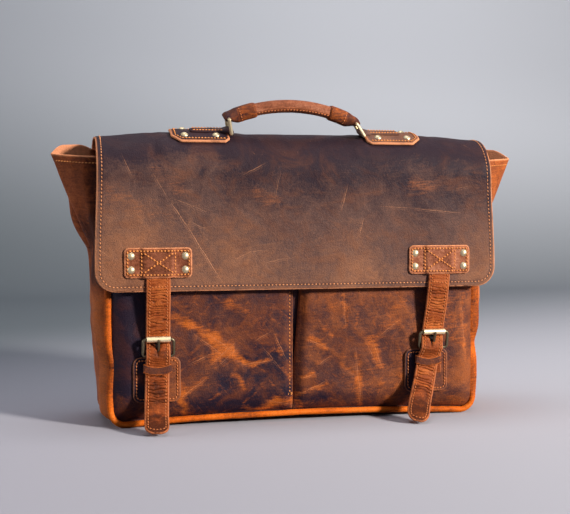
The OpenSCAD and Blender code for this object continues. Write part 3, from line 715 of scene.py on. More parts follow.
def flap_point(x, run):
    """Middle of the flap at a place across and a distance from the rear seam: a wide arc, a quarter circle and a
    straight fall, moved along the normal by slow waves and a groove under the seam, drooping at both sides of the
    shoulder and drawn in above; and its normal."""
    sy, sz, rr, rz, angle, sr, la, ls, _ = flap_lengths()
    x, run = np.broadcast_arrays(x, run)
    rear, front = run / rr - angle, np.clip((run - la) / sr, 0, math.pi / 2)
    fall = np.maximum(run - la - ls, 0)
    on_rear = run < la
    turn = np.where(on_rear, rear, front)
    y = sy - np.where(on_rear, rr, sr) * np.sin(turn)
    z = np.where(on_rear, rz + rr * np.cos(turn), sz + sr * np.cos(turn)) - fall
    normal = np.stack([x * 0, -np.sin(turn), np.cos(turn)], -1)
    anchor_x, anchor_z, plate_x = 151 * MM, 171 * MM, 104 * MM
    by_anchor = (ease((62 * MM - np.abs(np.abs(x) - anchor_x)) / (22 * MM))
                 * ease((60 * MM - np.abs(z - anchor_z)) / (30 * MM)))
    by_plate = (ease((52 * MM - np.abs(np.abs(x) - plate_x)) / (12 * MM))
                * ease((run - la + 22 * MM) / (10 * MM)) * ease((la + 56 * MM - run) / (10 * MM)))
    quiet = (1 - by_anchor) * (1 - by_plate)
    wave = (1.5 * ripple(x, run, 105 * MM, 3) + 0.6 * ripple(x, run, 38 * MM, 5)) * MM * quiet
    wave = wave + 0.16 * MM * ripple(x, run, 9 * MM, 7)
    hem = edge_gap(x, run)
    wave = wave - 0.3 * MM * bell(hem - sizes().seam_inset, 1.1 * MM) - 0.25 * MM * bell(hem, 1.5 * MM)
    wave = wave * ease(run / (12 * MM))
    droop = 4.0 * MM * ease((np.abs(x) - FLAP_HALF + 62 * MM) / (62 * MM)) * ease((20 * MM - y) / (40 * MM))
    z = z - droop * ease((z - sz + 30 * MM) / (60 * MM))
    upper = ease((z - 165 * MM) / (110 * MM))
    flank, zone = 125 * MM, 85 * MM
    x = x - 5 * MM * ease((x - flank) / zone) * upper
    x = x + 4.5 * MM * ease((-x - flank) / zone) * (0.4 + 0.6 * upper)
    return np.stack([x, y, z], -1) + normal * wave[..., None], normal


def flap_half(run):
    """Half the flap's width at a distance from the rear seam, rounded at the lower corners."""
    r = sizes().corner
    left = np.clip(flap_total() - run, 0, r)
    return FLAP_HALF - r + np.sqrt(np.maximum(r ** 2 - (r - left) ** 2, 0))


def edge_gap(x, run):
    """Distance from the flap's side edges, lower edge and round corners."""
    r = sizes().corner
    dx = FLAP_HALF - np.abs(x)
    dz = flap_total() - run
    inside = (dx < r) & (dz < r)
    return np.where(inside, r - np.hypot(r - dx, r - dz), np.minimum(dx, dz))


def build_flap():
    """One leather sheet from the rear seam over the crown down to the lower edge, stitched along three sides."""
    s = sizes()
    total = flap_total()
    wide = LEAF[1][0] - LEAF[0][0]
    across = places(wide, 0.9 * MM, 2.3 * MM, 9 * MM) / (wide / 2) - 1
    corner = s.corner * (1 - np.cos(np.linspace(0, math.pi / 2, 20)))
    rows = total - np.concatenate([corner[:-1], np.arange(s.corner, total - MM, 2.2 * MM), [total]])
    run = rows[:, None]
    x = across[None] * flap_half(run)
    mid, _ = flap_point(x, run)
    z = mid[..., 2]
    hem = edge_gap(x, run)
    tone = 2.05 * (ease((318 * MM - z) / (200 * MM)) - 0.58) + 0.3 * ripple(x, run, 60 * MM, 11)
    tone = tone + 0.75 * bell(x + 205 * MM, 60 * MM) * bell(z - 185 * MM, 60 * MM)
    tone = tone - 0.15 * ease((x - 60 * MM) / (120 * MM)) - 0.35 * ease((z - 268 * MM) / (24 * MM))
    tone = tone - 0.9 * bell(hem - s.seam_inset, 1.3 * MM)
    front = ease((-30 * MM - mid[..., 1]) / (8 * MM))
    rub = np.minimum(strokes(x, z, FLAP_RUBS), 0.8) * front + 0.3 * bell(hem, 1.3 * MM)
    scar, near = scars(x, z, FLAP_SCARS)
    piece = sheet("flap", mid, s.flap_leather, leather("flap"), tone=tone, rub=rub, scar=scar, near=near * front)
    seam = outline_row(s.seam_inset)
    points, normals = flap_point(seam[:, 0], seam[:, 1])
    thread = sew("flap_stitches", [(points + normals * s.flap_leather / 2, normals)], colour=colours().thread)
    for made in (piece, thread):
        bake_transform(made)
    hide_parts("flap_crown", "flap_front")
    rear = np.stack([np.linspace(-wide / 2 + s.seam_inset, wide / 2 - s.seam_inset, 200),
                     np.full(200, s.seam_inset)], -1)
    points, normals = flap_point(rear[:, 0], rear[:, 1])
    sew("rear_seam_stitches", [(points + normals * s.flap_leather / 2, normals)], "flap_top")


def outline_row(inset):
    """Places across and along the flap of a row at an inset from its edge: down the left, round the lower corners
    and up the right."""
    s = sizes()
    half, total = FLAP_HALF, flap_total()
    turn = np.linspace(0, math.pi / 2, 24)[:, None]
    r = s.corner - inset
    left = np.concatenate([-half + s.corner - r * np.cos(turn), total - s.corner + r * np.sin(turn)], 1)
    right = (left * (-1, 1))[::-1]
    start = np.array([[-half + inset, 8 * MM]])
    return spread(np.concatenate([start, left, right, start * (-1, 1)]), 1.5 * MM)


# Pockets, panels and gussets

LEFT_MARKS = (
    (-138, 115, -119, 106, 3.5, 0.6), (-119, 106, -92, 90, 4.5, 0.8), (-92, 90, -77, 78, 6.5, 0.95),
    (-92, 70, -76, 82, 5.0, 0.75), (-77, 78, -61, 65, 3.0, 0.6), (-66, 66, -49, 63, 3.0, 0.75),
    (-49, 63, -34, 66, 2.0, 0.6), (-131, 53, -119, 8, 4.0, 0.85), (-128, 30, -101, 50, 2.2, 0.55),
    (-72, 53, -63, 40, 2.2, 0.7), (-28, 92, -19, 72, 1.4, 0.5), (-47, 90, -36, 95, 1.4, 0.5),
    (-77, 128, -60, 120, 5.0, 0.55), (-44, 14, -26, 20, 4.0, 0.8), (-26, 20, -8, 21, 5.0, 0.8),
    (-116, 68, -100, 73, 1.2, 0.5), (-98, 28, -82, 39, 1.6, 0.4), (-60, 24, -50, 32, 1.5, 0.4),
    (-190, 15, -168, 12, 5.0, 0.45), (-60, 17, -44, 12, 3.0, 0.5), (-22, 60, -12, 46, 1.6, 0.45),
    (-34, 44, -24, 34, 1.5, 0.4), (-108, 118, -98, 126, 1.6, 0.35), (-56, 104, -44, 112, 1.4, 0.35),
)
RIGHT_MARKS = (
    (49, 131, 50, 101, 2.6, 0.65), (9, 86, 29, 79, 2.6, 0.75), (77, 86, 83, 72, 5.0, 0.75),
    (83, 72, 91, 53, 3.4, 0.75), (62, 71, 65, 42, 3.0, 0.55), (65, 42, 67, 12, 4.0, 0.65),
    (0, 47, 17, 49, 2.0, 0.7), (-2, 29, 27, 41, 2.4, 0.7), (85, 90, 110, 106, 4.0, 0.55),
    (44, 58, 56, 50, 2.4, 0.6), (88, 40, 89, 27, 2.4, 0.55), (101, 18, 113, 43, 5.0, 0.6),
    (148, 40, 158, 32, 4.0, 0.95), (160, 122, 168, 100, 12, 0.5), (68, 128, 62, 104, 2.4, 0.45),
    (26, 120, 38, 116, 1.4, 0.45), (29, 99, 35, 93, 4.0, 0.6), (170, 20, 188, 14, 5.0, 0.5),
    (110, 75, 112, 60, 2.0, 0.45), (0, 20, 8, 12, 3.5, 0.55), (172, 85, 184, 78, 3.0, 0.4),
    (116, 126, 100, 112, 3.0, 0.4), (20, 62, 33, 68, 1.4, 0.4), (120, 20, 132, 14, 4.0, 0.5),
    (182, 130, 186, 60, 2.5, 0.5), (30, 24, 48, 18, 2.0, 0.45),
)
LEFT_SCARS = (
    (-112, 96, -84, 74, 0.6), (-100, 98, -72, 76, 0.5), (-94, 66, -70, 86, 0.5), (-88, 62, -66, 82, 0.4),
    (-128, 30, -101, 50, 0.6), (-116, 66, -98, 74, 0.6), (-28, 94, -16, 68, 0.5), (-48, 88, -34, 96, 0.5),
    (-61, 63, -30, 66, 0.6), (-36, 24, -8, 18, 0.5), (-150, 132, -142, 118, 0.3), (-40, 80, -22, 58, 0.4),
)
RIGHT_SCARS = (
    (6, 88, 30, 78, 0.6), (48, 134, 50, 98, 0.5), (79, 86, 92, 52, 0.5), (72, 84, 86, 56, 0.4),
    (-3, 28, 28, 42, 0.6), (0, 46, 18, 50, 0.5), (61, 74, 68, 12, 0.5), (86, 88, 112, 107, 0.5),
    (100, 16, 114, 44, 0.4), (148, 42, 160, 30, 0.6), (20, 60, 34, 69, 0.5), (180, 134, 187, 60, 0.4),
)


def arch(x):
    """Rise of the base across the bag: a flat bow, highest in the middle."""
    return sizes().base_arch * np.clip(1 - (x / (186 * MM)) ** 2, 0, 1)


def corner_half(z):
    """Half width of the front and back at a height, round at the lower corners."""
    r, wide = 15 * MM, FRONT[1][0]
    low = np.clip((box("front_piping")[1][2] / 2 + r - z) / r, 0, 1)
    return wide - r * (1 - np.sqrt(np.maximum(1 - low ** 2, 0)))


def pocket_point(side, u, v):
    """Middle of a pocket's leather over two shares: flat in the middle, drawn in at the sewn sides and foot, with
    slow waves and creases; the inner edges part towards the top on the right."""
    lo, hi = box(either(side, "left_pocket", "right_pocket"))
    half = sizes().thin_leather / 2
    u, v = np.broadcast_arrays(u, v)
    flat_z = lo[2] + v * (hi[2] - lo[2])
    reach = corner_half(flat_z)
    x0, x1 = np.maximum(lo[0], -reach), np.minimum(hi[0], reach)
    if side > 0:
        x0 = x0 + 6.5 * MM * ease((flat_z - 34 * MM) / (120 * MM)) - 0.8 * MM
    x = x0 + u * (x1 - x0)
    inner = u if side > 0 else 1 - u
    outer = 1 - inner
    depth = hi[1] - lo[1] - 2 * half
    wall = (1 - (1 - np.clip(outer / 0.1, 0, 1)) ** 2.4) * (1 - (1 - np.clip(inner / 0.06, 0, 1)) ** 2.2 * 0.75)
    foot = 1 - (1 - np.clip(v / 0.16, 0, 1)) ** 2.6
    z = flat_z + arch(x) * (1 - ease(v / 0.75))
    strap_x, buckle_top = 149 * MM, 112 * MM
    quiet = 1 - ease((44 * MM - np.abs(np.abs(x) - strap_x)) / (14 * MM)) * ease((buckle_top - z) / (22 * MM))
    wave = 1.1 * ripple(x, z, 52 * MM, 21 + side) - 0.9 + 0.5 * ripple(x, z, 19 * MM, 23 + side)
    wave = wave * quiet + 0.14 * ripple(x, z, 6 * MM, 25)
    marks = either(side, LEFT_MARKS, RIGHT_MARKS)
    wave = wave + 0.75 * quiet * np.clip(strokes(x, z, marks), 0, 1) * ripple(x + z, x - z, 9 * MM, 27, 3.0)
    wave = wave - 0.8 * bell(inner * (x1 - x0) - 3.2 * MM, 2.5 * MM)
    y = hi[1] - half - depth * wall * foot - wave * MM * wall * foot
    return np.stack([x, y, z], -1)


def pocket_tone(side, mid):
    """Tone and rub of a pocket: on the left, painted shade where the strap's shadow falls, running on as a darker tone
    to the pocket's left edge; darker low down; rubbed along the creases and seams.
    """
    x, z = mid[..., 0], mid[..., 2]
    marks = either(side, LEFT_MARKS, RIGHT_MARKS)
    beyond = -156 * MM - x
    tone = 0.35 * ripple(x, z, 34 * MM, 31 + side) - 0.15
    if side < 0:
        # Painted shade left of the left strap: fullest at middle height, less at the foot and the top
        painted_shade_height = 0.15 + 0.85 * ease((z - 26 * MM) / (24 * MM)) - 0.25 * ease((z - 112 * MM) / (20 * MM))
        tone = tone - 1.9 * painted_shade_height * ease(beyond / (12 * MM)) - 0.3 * bell(x + 40 * MM, 30 * MM)
    else:
        tone = tone + 0.45 - 0.9 * bell(x - 166 * MM, 12 * MM) * bell(z - 63 * MM, 14 * MM)
        tone = tone + 0.5 * bell(x - 88 * MM, 36 * MM) * ease((z - 70 * MM) / (40 * MM))
        tone = tone + 0.4 * ease((x - 168 * MM) / (10 * MM))
        tone = tone - 0.5 * ease((60 * MM - x) / (30 * MM)) * ease((75 * MM - z) / (30 * MM))
    tone = tone - 0.4 * bell(z - 20 * MM, 14 * MM)
    # Rubs fade out in the painted shade left of the left strap
    rub = np.clip(strokes(x, z, marks), 0, 1.15) * (1 - 0.85 * ease(beyond / (10 * MM)))
    return tone, rub


def build_pockets():
    """Two soft pockets on the front panel, with a stitched middle seam and a bar tack at its foot."""
    s = sizes()
    for name, side in SIDES:
        u = places(1.0, 0.006, 0.0085, 0.06)[None]
        v = np.linspace(0, 1, 116)[:, None] ** 1.25
        mid = pocket_point(side, u, v)
        tone, rub = pocket_tone(side, mid)
        rub = rub + 0.3 * bell((u if side > 0 else 1 - u), 0.012)
        scar, near = scars(mid[..., 0], mid[..., 2], either(side, LEFT_SCARS, RIGHT_SCARS))
        piece = sheet(name + "_pocket_panel", mid, s.thin_leather, leather("pocket"), tone=tone, rub=rub, scar=scar,
                      near=near)
        settle(piece, "bag", "pocket_leather", name + "_pocket")
    v = np.linspace(0.11, 0.96, 160)
    inner = pocket_point(-1, np.full(160, 0.982), v)
    face = facing(FRONTWARDS, 160)
    lift = inner + face * s.thin_leather / 2
    tack = np.array([[-3.6, 0], [3.6, 0]]) * MM
    foot = lift[0] + np.stack([tack[:, 0], tack[:, 1] - 0.4 * MM, tack[:, 1]], -1)
    rows = [(lift, face), (foot, face[:2]), (foot - (0, 0, 1.5 * MM), face[:2])]
    sew("pocket_seam_stitches", rows, "bag", slant=0.3)


def panel_grid(x, z, y):
    """Grid of an upright panel from its places across, its heights and its depth over both."""
    xx, zz = np.meshgrid(x, z)
    return np.stack([xx, y(xx, zz), zz], -1)


def arched(grid):
    """The same places drawn in at the round lower corners and lifted with the base's arch, less so further up."""
    x = grid[..., 0] * corner_half(grid[..., 2]) / FRONT[1][0]
    z = grid[..., 2] + arch(x) * (1 - ease(grid[..., 2] / (120 * MM)))
    return np.stack([x, grid[..., 1], z], -1)


def build_front_panel():
    """Front panel behind the pockets: an upright grid with one slow wave, with painted shade darkest behind the middle
    seam, in the gap between the pockets.
    """
    lo, hi = FRONT
    x, z = np.linspace(lo[0], hi[0], 130), np.linspace(lo[2], hi[2], 90)
    grid = panel_grid(x, z, lambda a, b: (lo[1] + hi[1]) / 2 + 0.8 * MM * ripple(a, b, 70 * MM, 41) * bell(a, 0.15))
    grid = arched(grid)
    # Painted shade: a dark band down the middle, where the gap between the pockets lies in shade
    tone = 0.2 * ripple(grid[..., 0], grid[..., 2], 40 * MM, 43) - 0.4 - 1.1 * bell(grid[..., 0], 14 * MM)
    piece = sheet("front_wall", grid, sizes().panel_leather, leather("pocket"), tone=tone)
    settle(piece, "bag", "pocket_leather", "front_panel")


def back_bow(x, z):
    """Depth of the back panel: a bulge that dies away at its borders, slow creases and a groove under each side
    seam."""
    lo, hi = BACK
    share = (z - lo[2]) / (hi[2] - lo[2])
    swell = 6 * MM * np.sin(math.pi * np.clip(share, 0, 1)) ** 0.8 * (1 - (x / hi[0]) ** 4)
    crease = 1.2 * MM * ripple(x, z, 85 * MM, 45) + 0.35 * MM * ripple(x, z, 24 * MM, 47)
    groove = 0.35 * MM * bell(hi[0] - np.abs(x) - sizes().seam_inset, 1.2 * MM)
    return (lo[1] + hi[1]) / 2 + swell + crease * np.sin(math.pi * share) - groove


def build_back_panel():
    """Bulging back panel, stitched along both sides and twice along its top."""
    s = sizes()
    t = s.panel_leather
    lo, hi = BACK
    x, z = places(hi[0] - lo[0], 1.2 * MM, 2.8 * MM, 9 * MM) + lo[0], np.linspace(lo[2], hi[2], 110)
    grid = panel_grid(x[::-1], z, back_bow)
    gap = hi[0] - np.abs(grid[..., 0])
    tone = 0.4 * ripple(grid[..., 0], grid[..., 2], 60 * MM, 49) + 0.2
    rub = 0.5 * bell(gap, 3 * MM) + 0.3 * bell(hi[2] - grid[..., 2], 4 * MM)
    piece = sheet("back_wall", arched(grid), t, leather("pocket"), tone=tone, rub=rub)
    settle(piece, "bag", "pocket_leather", "back_panel")
    rows, backwards = [], (0, 1, 0)
    up = np.linspace(14 * MM, hi[2] - 7 * MM, 150)
    for side in (-1, 1):
        across = np.full(150, side * (hi[0] - s.seam_inset))
        row = arched(np.stack([across, back_bow(across, up) + t / 2, up], -1))
        rows.append((row, facing(backwards, 150)))
    across = np.linspace(lo[0] + 6 * MM, hi[0] - 6 * MM, 200)
    for drop in (5 * MM, 9 * MM):
        top = np.full(200, hi[2] - drop)
        rows.append((np.stack([across, back_bow(across, top) + t / 2, top], -1), facing(backwards, 200)))
    sew("back_stitches", rows, "bag")


def build_bottom_panel():
    """Bottom panel: a flat grid lifted by the base's arch and by slow waves."""
    lo, hi = box("bottom_panel")
    short = 8 * MM
    x, y = np.linspace(lo[0] + short, hi[0] - short, 110), np.linspace(hi[1], lo[1], 40)
    xx, yy = np.meshgrid(x, y)
    zz = (lo[2] + hi[2]) / 2 + arch(xx) + 0.4 * MM * (1 + ripple(xx, yy, 40 * MM, 51))
    piece = sheet("base", np.stack([xx, yy, zz], -1), hi[2] - lo[2], leather("gusset"), tone=0.2)
    settle(piece, "bag", "gusset_leather", "bottom_panel")


def build_divider():
    """Divider: an upright grid with a slow wave that dies away at its sides."""
    lo, hi = box("divider")
    x, z = np.linspace(lo[0], hi[0], 100), np.linspace(lo[2], hi[2], 70)
    grid = panel_grid(x, z, lambda a, b: (lo[1] + hi[1]) / 2 + 1.6 * MM * ripple(a, b, 90 * MM, 53)
                      * ease((hi[0] - np.abs(a)) / (30 * MM)))
    piece = sheet("divider_wall", arched(grid), sizes().panel_leather, leather("strap"), tone=-0.3)
    settle(piece, "bag", "divider_suede", "divider")


def build_panels():
    """Front, back and bottom panels and the divider: one soft shell whose walls bow and whose base arches."""
    build_front_panel()
    build_back_panel()
    build_bottom_panel()
    build_divider()


def gusset_point(side, s, t):
    """Middle of a gusset over two shares, front to back and foot to rim: bulging below and folded into a pointed
    ear above, whose fold lies forward of the middle and whose back half stands out under it."""
    front_top, back_top, lift = FRONT[1][2], BACK[1][2], FRONT[0][2]
    half = sizes().thin_leather / 2
    s, t = np.broadcast_arrays(s, t)
    z = lift + t * (front_top + (back_top - front_top) * (s + 1) / 2 - lift)
    z = z + 8.5 * MM * ease((s + 0.05) / 0.4) * (1 - ease((s - 0.6) / 0.35)) * t ** 8
    ear = 185 * MM
    bulge = 18 * MM * (0.5 + 0.5 * np.sin(math.pi / 2 * np.minimum(1, z / ear)))
    bulge = bulge + 40 * MM * np.maximum(0, (z - ear) / ((front_top + back_top) / 2 - ear))
    fold = 8.5 - 6.1 * ease((z - 120 * MM) / (60 * MM)) - 1.2 * np.clip((z - ear) / (front_top - ear), 0, 1)
    out = bulge * (1 - np.abs(s) ** fold)
    above, crook = ease((z - 150 * MM) / (60 * MM)), 212 * MM
    out = out + 10 * MM * bell(z - crook, 30 * MM) * bell(s - 0.38, 0.2)
    out = out - 3 * MM * bell(z - crook, 34 * MM) * bell(s - 0.1, 0.06)
    out = out - 4.0 * MM * bell(z - 205 * MM, 34 * MM) * bell(s + 0.35, 0.24)
    tucked = ease((-0.6 - s) / 0.12) * (1 - ease((-0.9 - s) / 0.1))
    out = out - 12 * MM * ease((z - 148 * MM) / (30 * MM)) * tucked
    flat_y = s * 45 * MM
    side_waves = 1.3 * ripple(flat_y, z, 34 * MM, 61 + side) + 0.6 * ripple(flat_y, z, 13 * MM, 63 + side, 2.2)
    out = out + side_waves * MM * (1 - np.abs(s) ** 3) * (1 - 0.5 * above)
    pinch = either(side, 62, 78) * MM
    out = out - 3.2 * MM * bell(z - pinch, 12 * MM) * bell(s + 0.8, 0.25)
    out = out - 1.2 * MM * bell(s - 0.02, 0.06) * (1 - above)
    depth = (box("left_gusset")[1][1] - box("left_gusset")[0][1]) / 2
    x = corner_half(z) - half + out * ease((z + 6 * MM) / (20 * MM))
    y = s * depth - 13 * MM * ease((z - 150 * MM) / (90 * MM)) * (1 - s * s)
    return np.stack([side * x, y, z], -1)


def gusset_tone(side, s, y, z):
    """Tone and rub of a gusset over its share from front to back, its depth and its height: painted shade in the tuck
    beside the flap and in a ragged band under the ear, strong on the left and light on the right, rubbed along its
    borders, its rim and the back of its ear."""
    ear = ease((z - 130 * MM) / (50 * MM))
    tone = 0.3 * ripple(y, z, 30 * MM, 65 + side) + either(side, 0.45, 0.4) - either(side, 0.3, 0.0) * ear
    tone = tone + 0.7 * bell(y + 38 * MM, 16 * MM) * ease((150 * MM - z) / (30 * MM))
    # Painted shade: the tuck beside the flap and a ragged band under the ear are darkened, strongly on the left and
    # lightly on the right
    inner = -0.56 + 0.36 * ease((238 * MM - z) / (60 * MM))
    ragged = z + 9 * MM * ripple(y, z, 22 * MM, 67 + side)
    tone = tone - either(side, 1.6, 0.4) * ease((inner - s) / 0.2) * ease((ragged - 132 * MM) / (44 * MM))
    painted_shade_under_ear = ease((ragged - 130 * MM) / (40 * MM)) * (1 - ease((ragged - 190 * MM) / (44 * MM)))
    tone = tone - either(side, 1.0, 0.2) * painted_shade_under_ear * ease((0.7 - s) / 0.7)
    rub = 0.7 * bell(1 - np.abs(s * np.ones_like(z)), 0.06) + 0.4 * bell(z - 287 * MM, 5 * MM)
    rub = rub + 0.95 * ease((y - 4 * MM) / (6 * MM)) * bell(z - 218 * MM, 42 * MM) + either(side, 0.0, 0.5) * ear
    rub = rub + either(side, 0.6, 0.2) * bell(y + 36 * MM, 9 * MM) * ease((150 * MM - z) / (20 * MM))
    return tone, rub


def build_gussets():
    """Side walls that fold into pointed ears, stitched along their rims."""
    th = sizes().thin_leather
    for name, side in SIDES:
        s = side * np.concatenate([np.linspace(-1, -0.7, 14)[:-1], np.linspace(-0.7, 0.7, 42),
                                   np.linspace(0.7, 1, 14)[1:]])
        t = np.concatenate([np.linspace(0, 0.93, 96), np.linspace(0.93, 1, 16)[1:]])[:, None]
        grid = gusset_point(side, s[None], t)
        tone, rub = gusset_tone(side, s[None], grid[..., 1], grid[..., 2])
        piece = sheet(name + "_side", grid, th, leather("gusset"), tone=tone, rub=rub)
        settle(piece, "bag", "gusset_leather", name + "_gusset")
        rows = []
        for a, b in ((-0.95, -0.06), (0.06, 0.95)):
            along, rim = np.linspace(a, b, 90), np.full(90, 0.978)
            p, q = gusset_point(side, along, rim), gusset_point(side, along + 1e-3, rim)
            normal = unit(np.cross(q - p, (0, 0, 1)))
            normal = normal * np.sign((normal * (side, 0, 0)).sum(-1, keepdims=True))
            rows.append((p + normal * th / 2, normal))
        sew(name + "_ear_stitches", rows, "bag", pitch=3.6 * MM)


def build_piping():
    """Rolled piping along the base, round its corners and up the side seams, at the front and at the back."""
    lo, hi = box("front_piping")
    r = (hi[2] - lo[2]) / 2
    low, reach, top, corner = lo[2] + r, FRONT[1][0] + 0.6 * MM, 168 * MM, 15 * MM
    turn = np.linspace(0, math.pi / 2, 14)[1:-1]
    bend = np.stack([reach - corner + corner * np.sin(turn), low + corner - corner * np.cos(turn)], -1)
    half = np.concatenate([[(0, low), (reach - corner, low)], bend, [(reach, low + corner), (reach, top)]])
    path = spread(np.concatenate([(half * (-1, 1))[:0:-1], half]), 2.2 * MM)
    for name, sign, seed in (("front", -1, 71), ("back", 1, 75)):
        side = ease((path[:, 1] - low - 8 * MM) / (20 * MM))
        way = np.sign(path[:, 0])
        x = path[:, 0] + way * side * MM * (1.2 + 1.6 * ripple(path[:, 1], path[:, 0] * 0, 34 * MM, seed))
        x = x - way * side * 3.4 * MM * bell(path[:, 1] - np.where(path[:, 0] < 0, 62, 78) * MM, 13 * MM)
        z = path[:, 1] + arch(path[:, 0]) * (1 - side) + 0.35 * MM * ripple(path[:, 0], path[:, 1], 26 * MM, seed + 1)
        z = np.maximum(z, low)
        depth = middle(name + "_piping")[1] + side * sign * -1.6 * MM
        line = np.stack([x, depth * np.ones_like(x), z], -1)
        tuck = 4.5 * MM * ease((path[:, 1] - 112 * MM) / (50 * MM)) * (sign > 0)
        line = line - np.stack([way * tuck, tuck, 0 * tuck], -1)
        run = run_of(line)
        taper = np.minimum(1, np.minimum(run, run[-1] - run) / (26 * MM))
        radius = r * (1 + 0.1 * side * (1 + (path[:, 0] > 0))) * np.sqrt(np.clip(taper, 0.02, 1))
        radius = radius * (1 + 0.05 * ripple(run, run * 0, 14 * MM, seed + 2))
        tone = (0.35 * ripple(run, run * 0, 22 * MM, seed + 3) - 0.3 * side)[:, None] * np.ones((1, 18))
        broad = np.where(path[:, 0] > 0, 0.75 + 0.3 * ripple(run, run * 0, 20 * MM, seed + 4), 0.1)
        broad = 1 + (sign < 0) * side * broad
        line[:, 0] -= np.sign(line[:, 0]) * (broad - 1) * r * 0.9
        verts, faces, fields = tube_parts(line, ovals(radius, radius * broad, 18), (0, 1, 0), tone=tone, rub=0.2)
        piece = make(name + "_roll", verts, faces, leather("piping"), **fields)
        settle(piece, "bag", "gusset_leather", name + "_piping")


# Strap anchors, straps and buckle leather

def rounded_grid(wide, tall, radius, step):
    """Flat grid that fills a rectangle with round corners: rows narrow towards the top and the foot."""
    near = radius * (1 - np.cos(np.linspace(0, math.pi / 2, 9)))
    mid = np.linspace(radius, tall - radius, max(2, int(round((tall - 2 * radius) / step)) + 1))
    z = np.concatenate([near[:-1], mid, (tall - near[::-1])[1:]])
    edge = np.clip(np.minimum(z, tall - z), 0, radius)
    half = wide / 2 - radius + np.sqrt(np.maximum(radius ** 2 - (radius - edge) ** 2, 0))
    u = places(2.0, 0.03, 2 * step / wide, 0.12) - 1
    return u[None] * half[:, None], (z - tall / 2)[:, None] * np.ones_like(u)[None]


def rounded_row(wide, tall, radius, inset):
    """Closed row of places at an inset inside a rectangle with round corners."""
    a, b, r = wide / 2 - inset, tall / 2 - inset, max(radius - inset, 0.6 * MM)
    turn = np.linspace(0, math.pi / 2, 8)
    arcs = []
    for k, (sx, sz) in enumerate(((1, 1), (-1, 1), (-1, -1), (1, -1))):
        angle = turn + k * math.pi / 2
        arcs.append(np.stack([sx * (a - r) + r * np.cos(angle), sz * (b - r) + r * np.sin(angle)], -1))
    line = np.concatenate([*arcs, arcs[0][:1]])
    return spread(line, MM)


def build_strap_anchors():
    """Patches that hold the straps' ends: a low hump over the strap, a stitched frame and a crossed box."""
    s = sizes()
    th = s.thin_leather
    for name, side in SIDES:
        lo, hi = box(name + "_strap_anchor")
        centre_x, centre_z, back = (lo[0] + hi[0]) / 2, (lo[2] + hi[2]) / 2, hi[1]
        wide, tall = hi[0] - lo[0], hi[2] - lo[2]

        def face(x, z):
            rise = s.strap_leather * ease((19.5 * MM - np.abs(x)) / (7 * MM))
            soft = 0.22 * MM * ripple(x, z, 7 * MM, 81 + side)
            dent = 0.25 * MM * bell(np.abs(x) - 17 * MM, 1.2 * MM)
            return back - th / 2 - rise - soft + dent

        x, z = rounded_grid(wide, tall, 4 * MM, 0.9 * MM)
        grid = np.stack([x + centre_x, face(x, z), z + centre_z], -1)
        gap = np.minimum(wide / 2 - np.abs(x), tall / 2 - np.abs(z))
        tone = 0.35 * ripple(x, z, 9 * MM, 83 + side) + either(side, -0.15, 0.35)
        tone = tone - 0.5 * bell(x, 12 * MM) * bell(z, 9 * MM)
        rub = 0.7 * bell(gap, 1.8 * MM) + 0.3 * bell(np.abs(x) - 14 * MM, 2 * MM)
        piece = sheet(name + "_anchor_patch", grid, th, leather("grip"), tone=tone, rub=rub)
        settle(piece, "flap_leaf", "strap_leather", name + "_strap_anchor")
        flat = [rounded_row(wide, tall, 4 * MM, 2.4 * MM)]
        a, b = 17 * MM, tall / 2 - 3.4 * MM
        flat += [spread(np.array([[k * a, -b], [k * a, b]]), MM) for k in (-1, 1)]
        flat += [spread(np.array([[-a + 2 * MM, k * (b - MM)], [a - 2 * MM, -k * (b - MM)]]), MM) for k in (-1, 1)]
        rows = [(np.stack([f[:, 0] + centre_x, face(f[:, 0], f[:, 1]) - th / 2, f[:, 1] + centre_z], -1),
                 facing(FRONTWARDS, len(f))) for f in flat]
        sew(name + "_anchor_stitches", rows, "flap_leaf", pitch=3.5 * MM, thick=1.35)


def strap_route(name):
    """Middle line of a strap from its tip up to its anchor, through the keeper, over the heel bar and behind the
    roller."""
    s = sizes()
    t = s.strap_leather
    side = dict(SIDES)[name]
    roller = middle(name + "_roller")
    heel = joint_place(name + "_buckle_tilt")
    keeper = middle(name + "_keeper")
    anchor = middle(name + "_strap_anchor")
    tip = box(name + "_strap")[0]
    sway = either(side, -5.5, -30) * MM
    flap_y = LEAF[0][1] - 0.2 * MM - t / 2
    roller_r = (box(name + "_roller")[1][2] - box(name + "_roller")[0][2]) / 2
    back_y = roller[1] + roller_r + 0.4 * MM + t / 2
    front_y = heel[1] - 3.3 * MM - 0.4 * MM - t / 2
    low_z, foot_y = 4 * MM, tip[1]
    bx, fall, curl = roller[0], keeper[2] - 4 * MM, keeper[1] - foot_y
    points = [
        (anchor[0], flap_y, anchor[2] + 7 * MM), (anchor[0], flap_y, anchor[2] - 14.5 * MM),
        (anchor[0] + (bx - anchor[0]) / 5, flap_y - 0.4 * MM, LEAF[0][2]),
        ((anchor[0] + bx) / 2, (flap_y + back_y) / 2, (LEAF[0][2] + roller[2]) / 2),
        (bx, back_y, roller[2]), (bx + sway * 0.05, (back_y + front_y) / 2, (roller[2] + heel[2]) / 2),
        (bx + sway * 0.1, front_y, heel[2]), (bx + sway * 0.2, keeper[1], keeper[2]),
        (bx + sway * 0.4, keeper[1] - curl * 0.12, low_z + fall * 0.6),
        (bx + sway * 0.7, keeper[1] - curl * 0.45, low_z + fall * 0.24), (bx + sway, foot_y + 1.2 * MM, low_z),
    ]
    return spread(smooth_path(points, 24), 0.55 * MM)[::-1]


def strap_ways(path):
    """Directions of a strap at each point of its middle line: ahead, out of its face and across it."""
    ahead = unit(np.gradient(path, axis=0))
    out = unit(np.cross((1, 0, 0), ahead))
    return ahead, out, unit(np.cross(ahead, out))


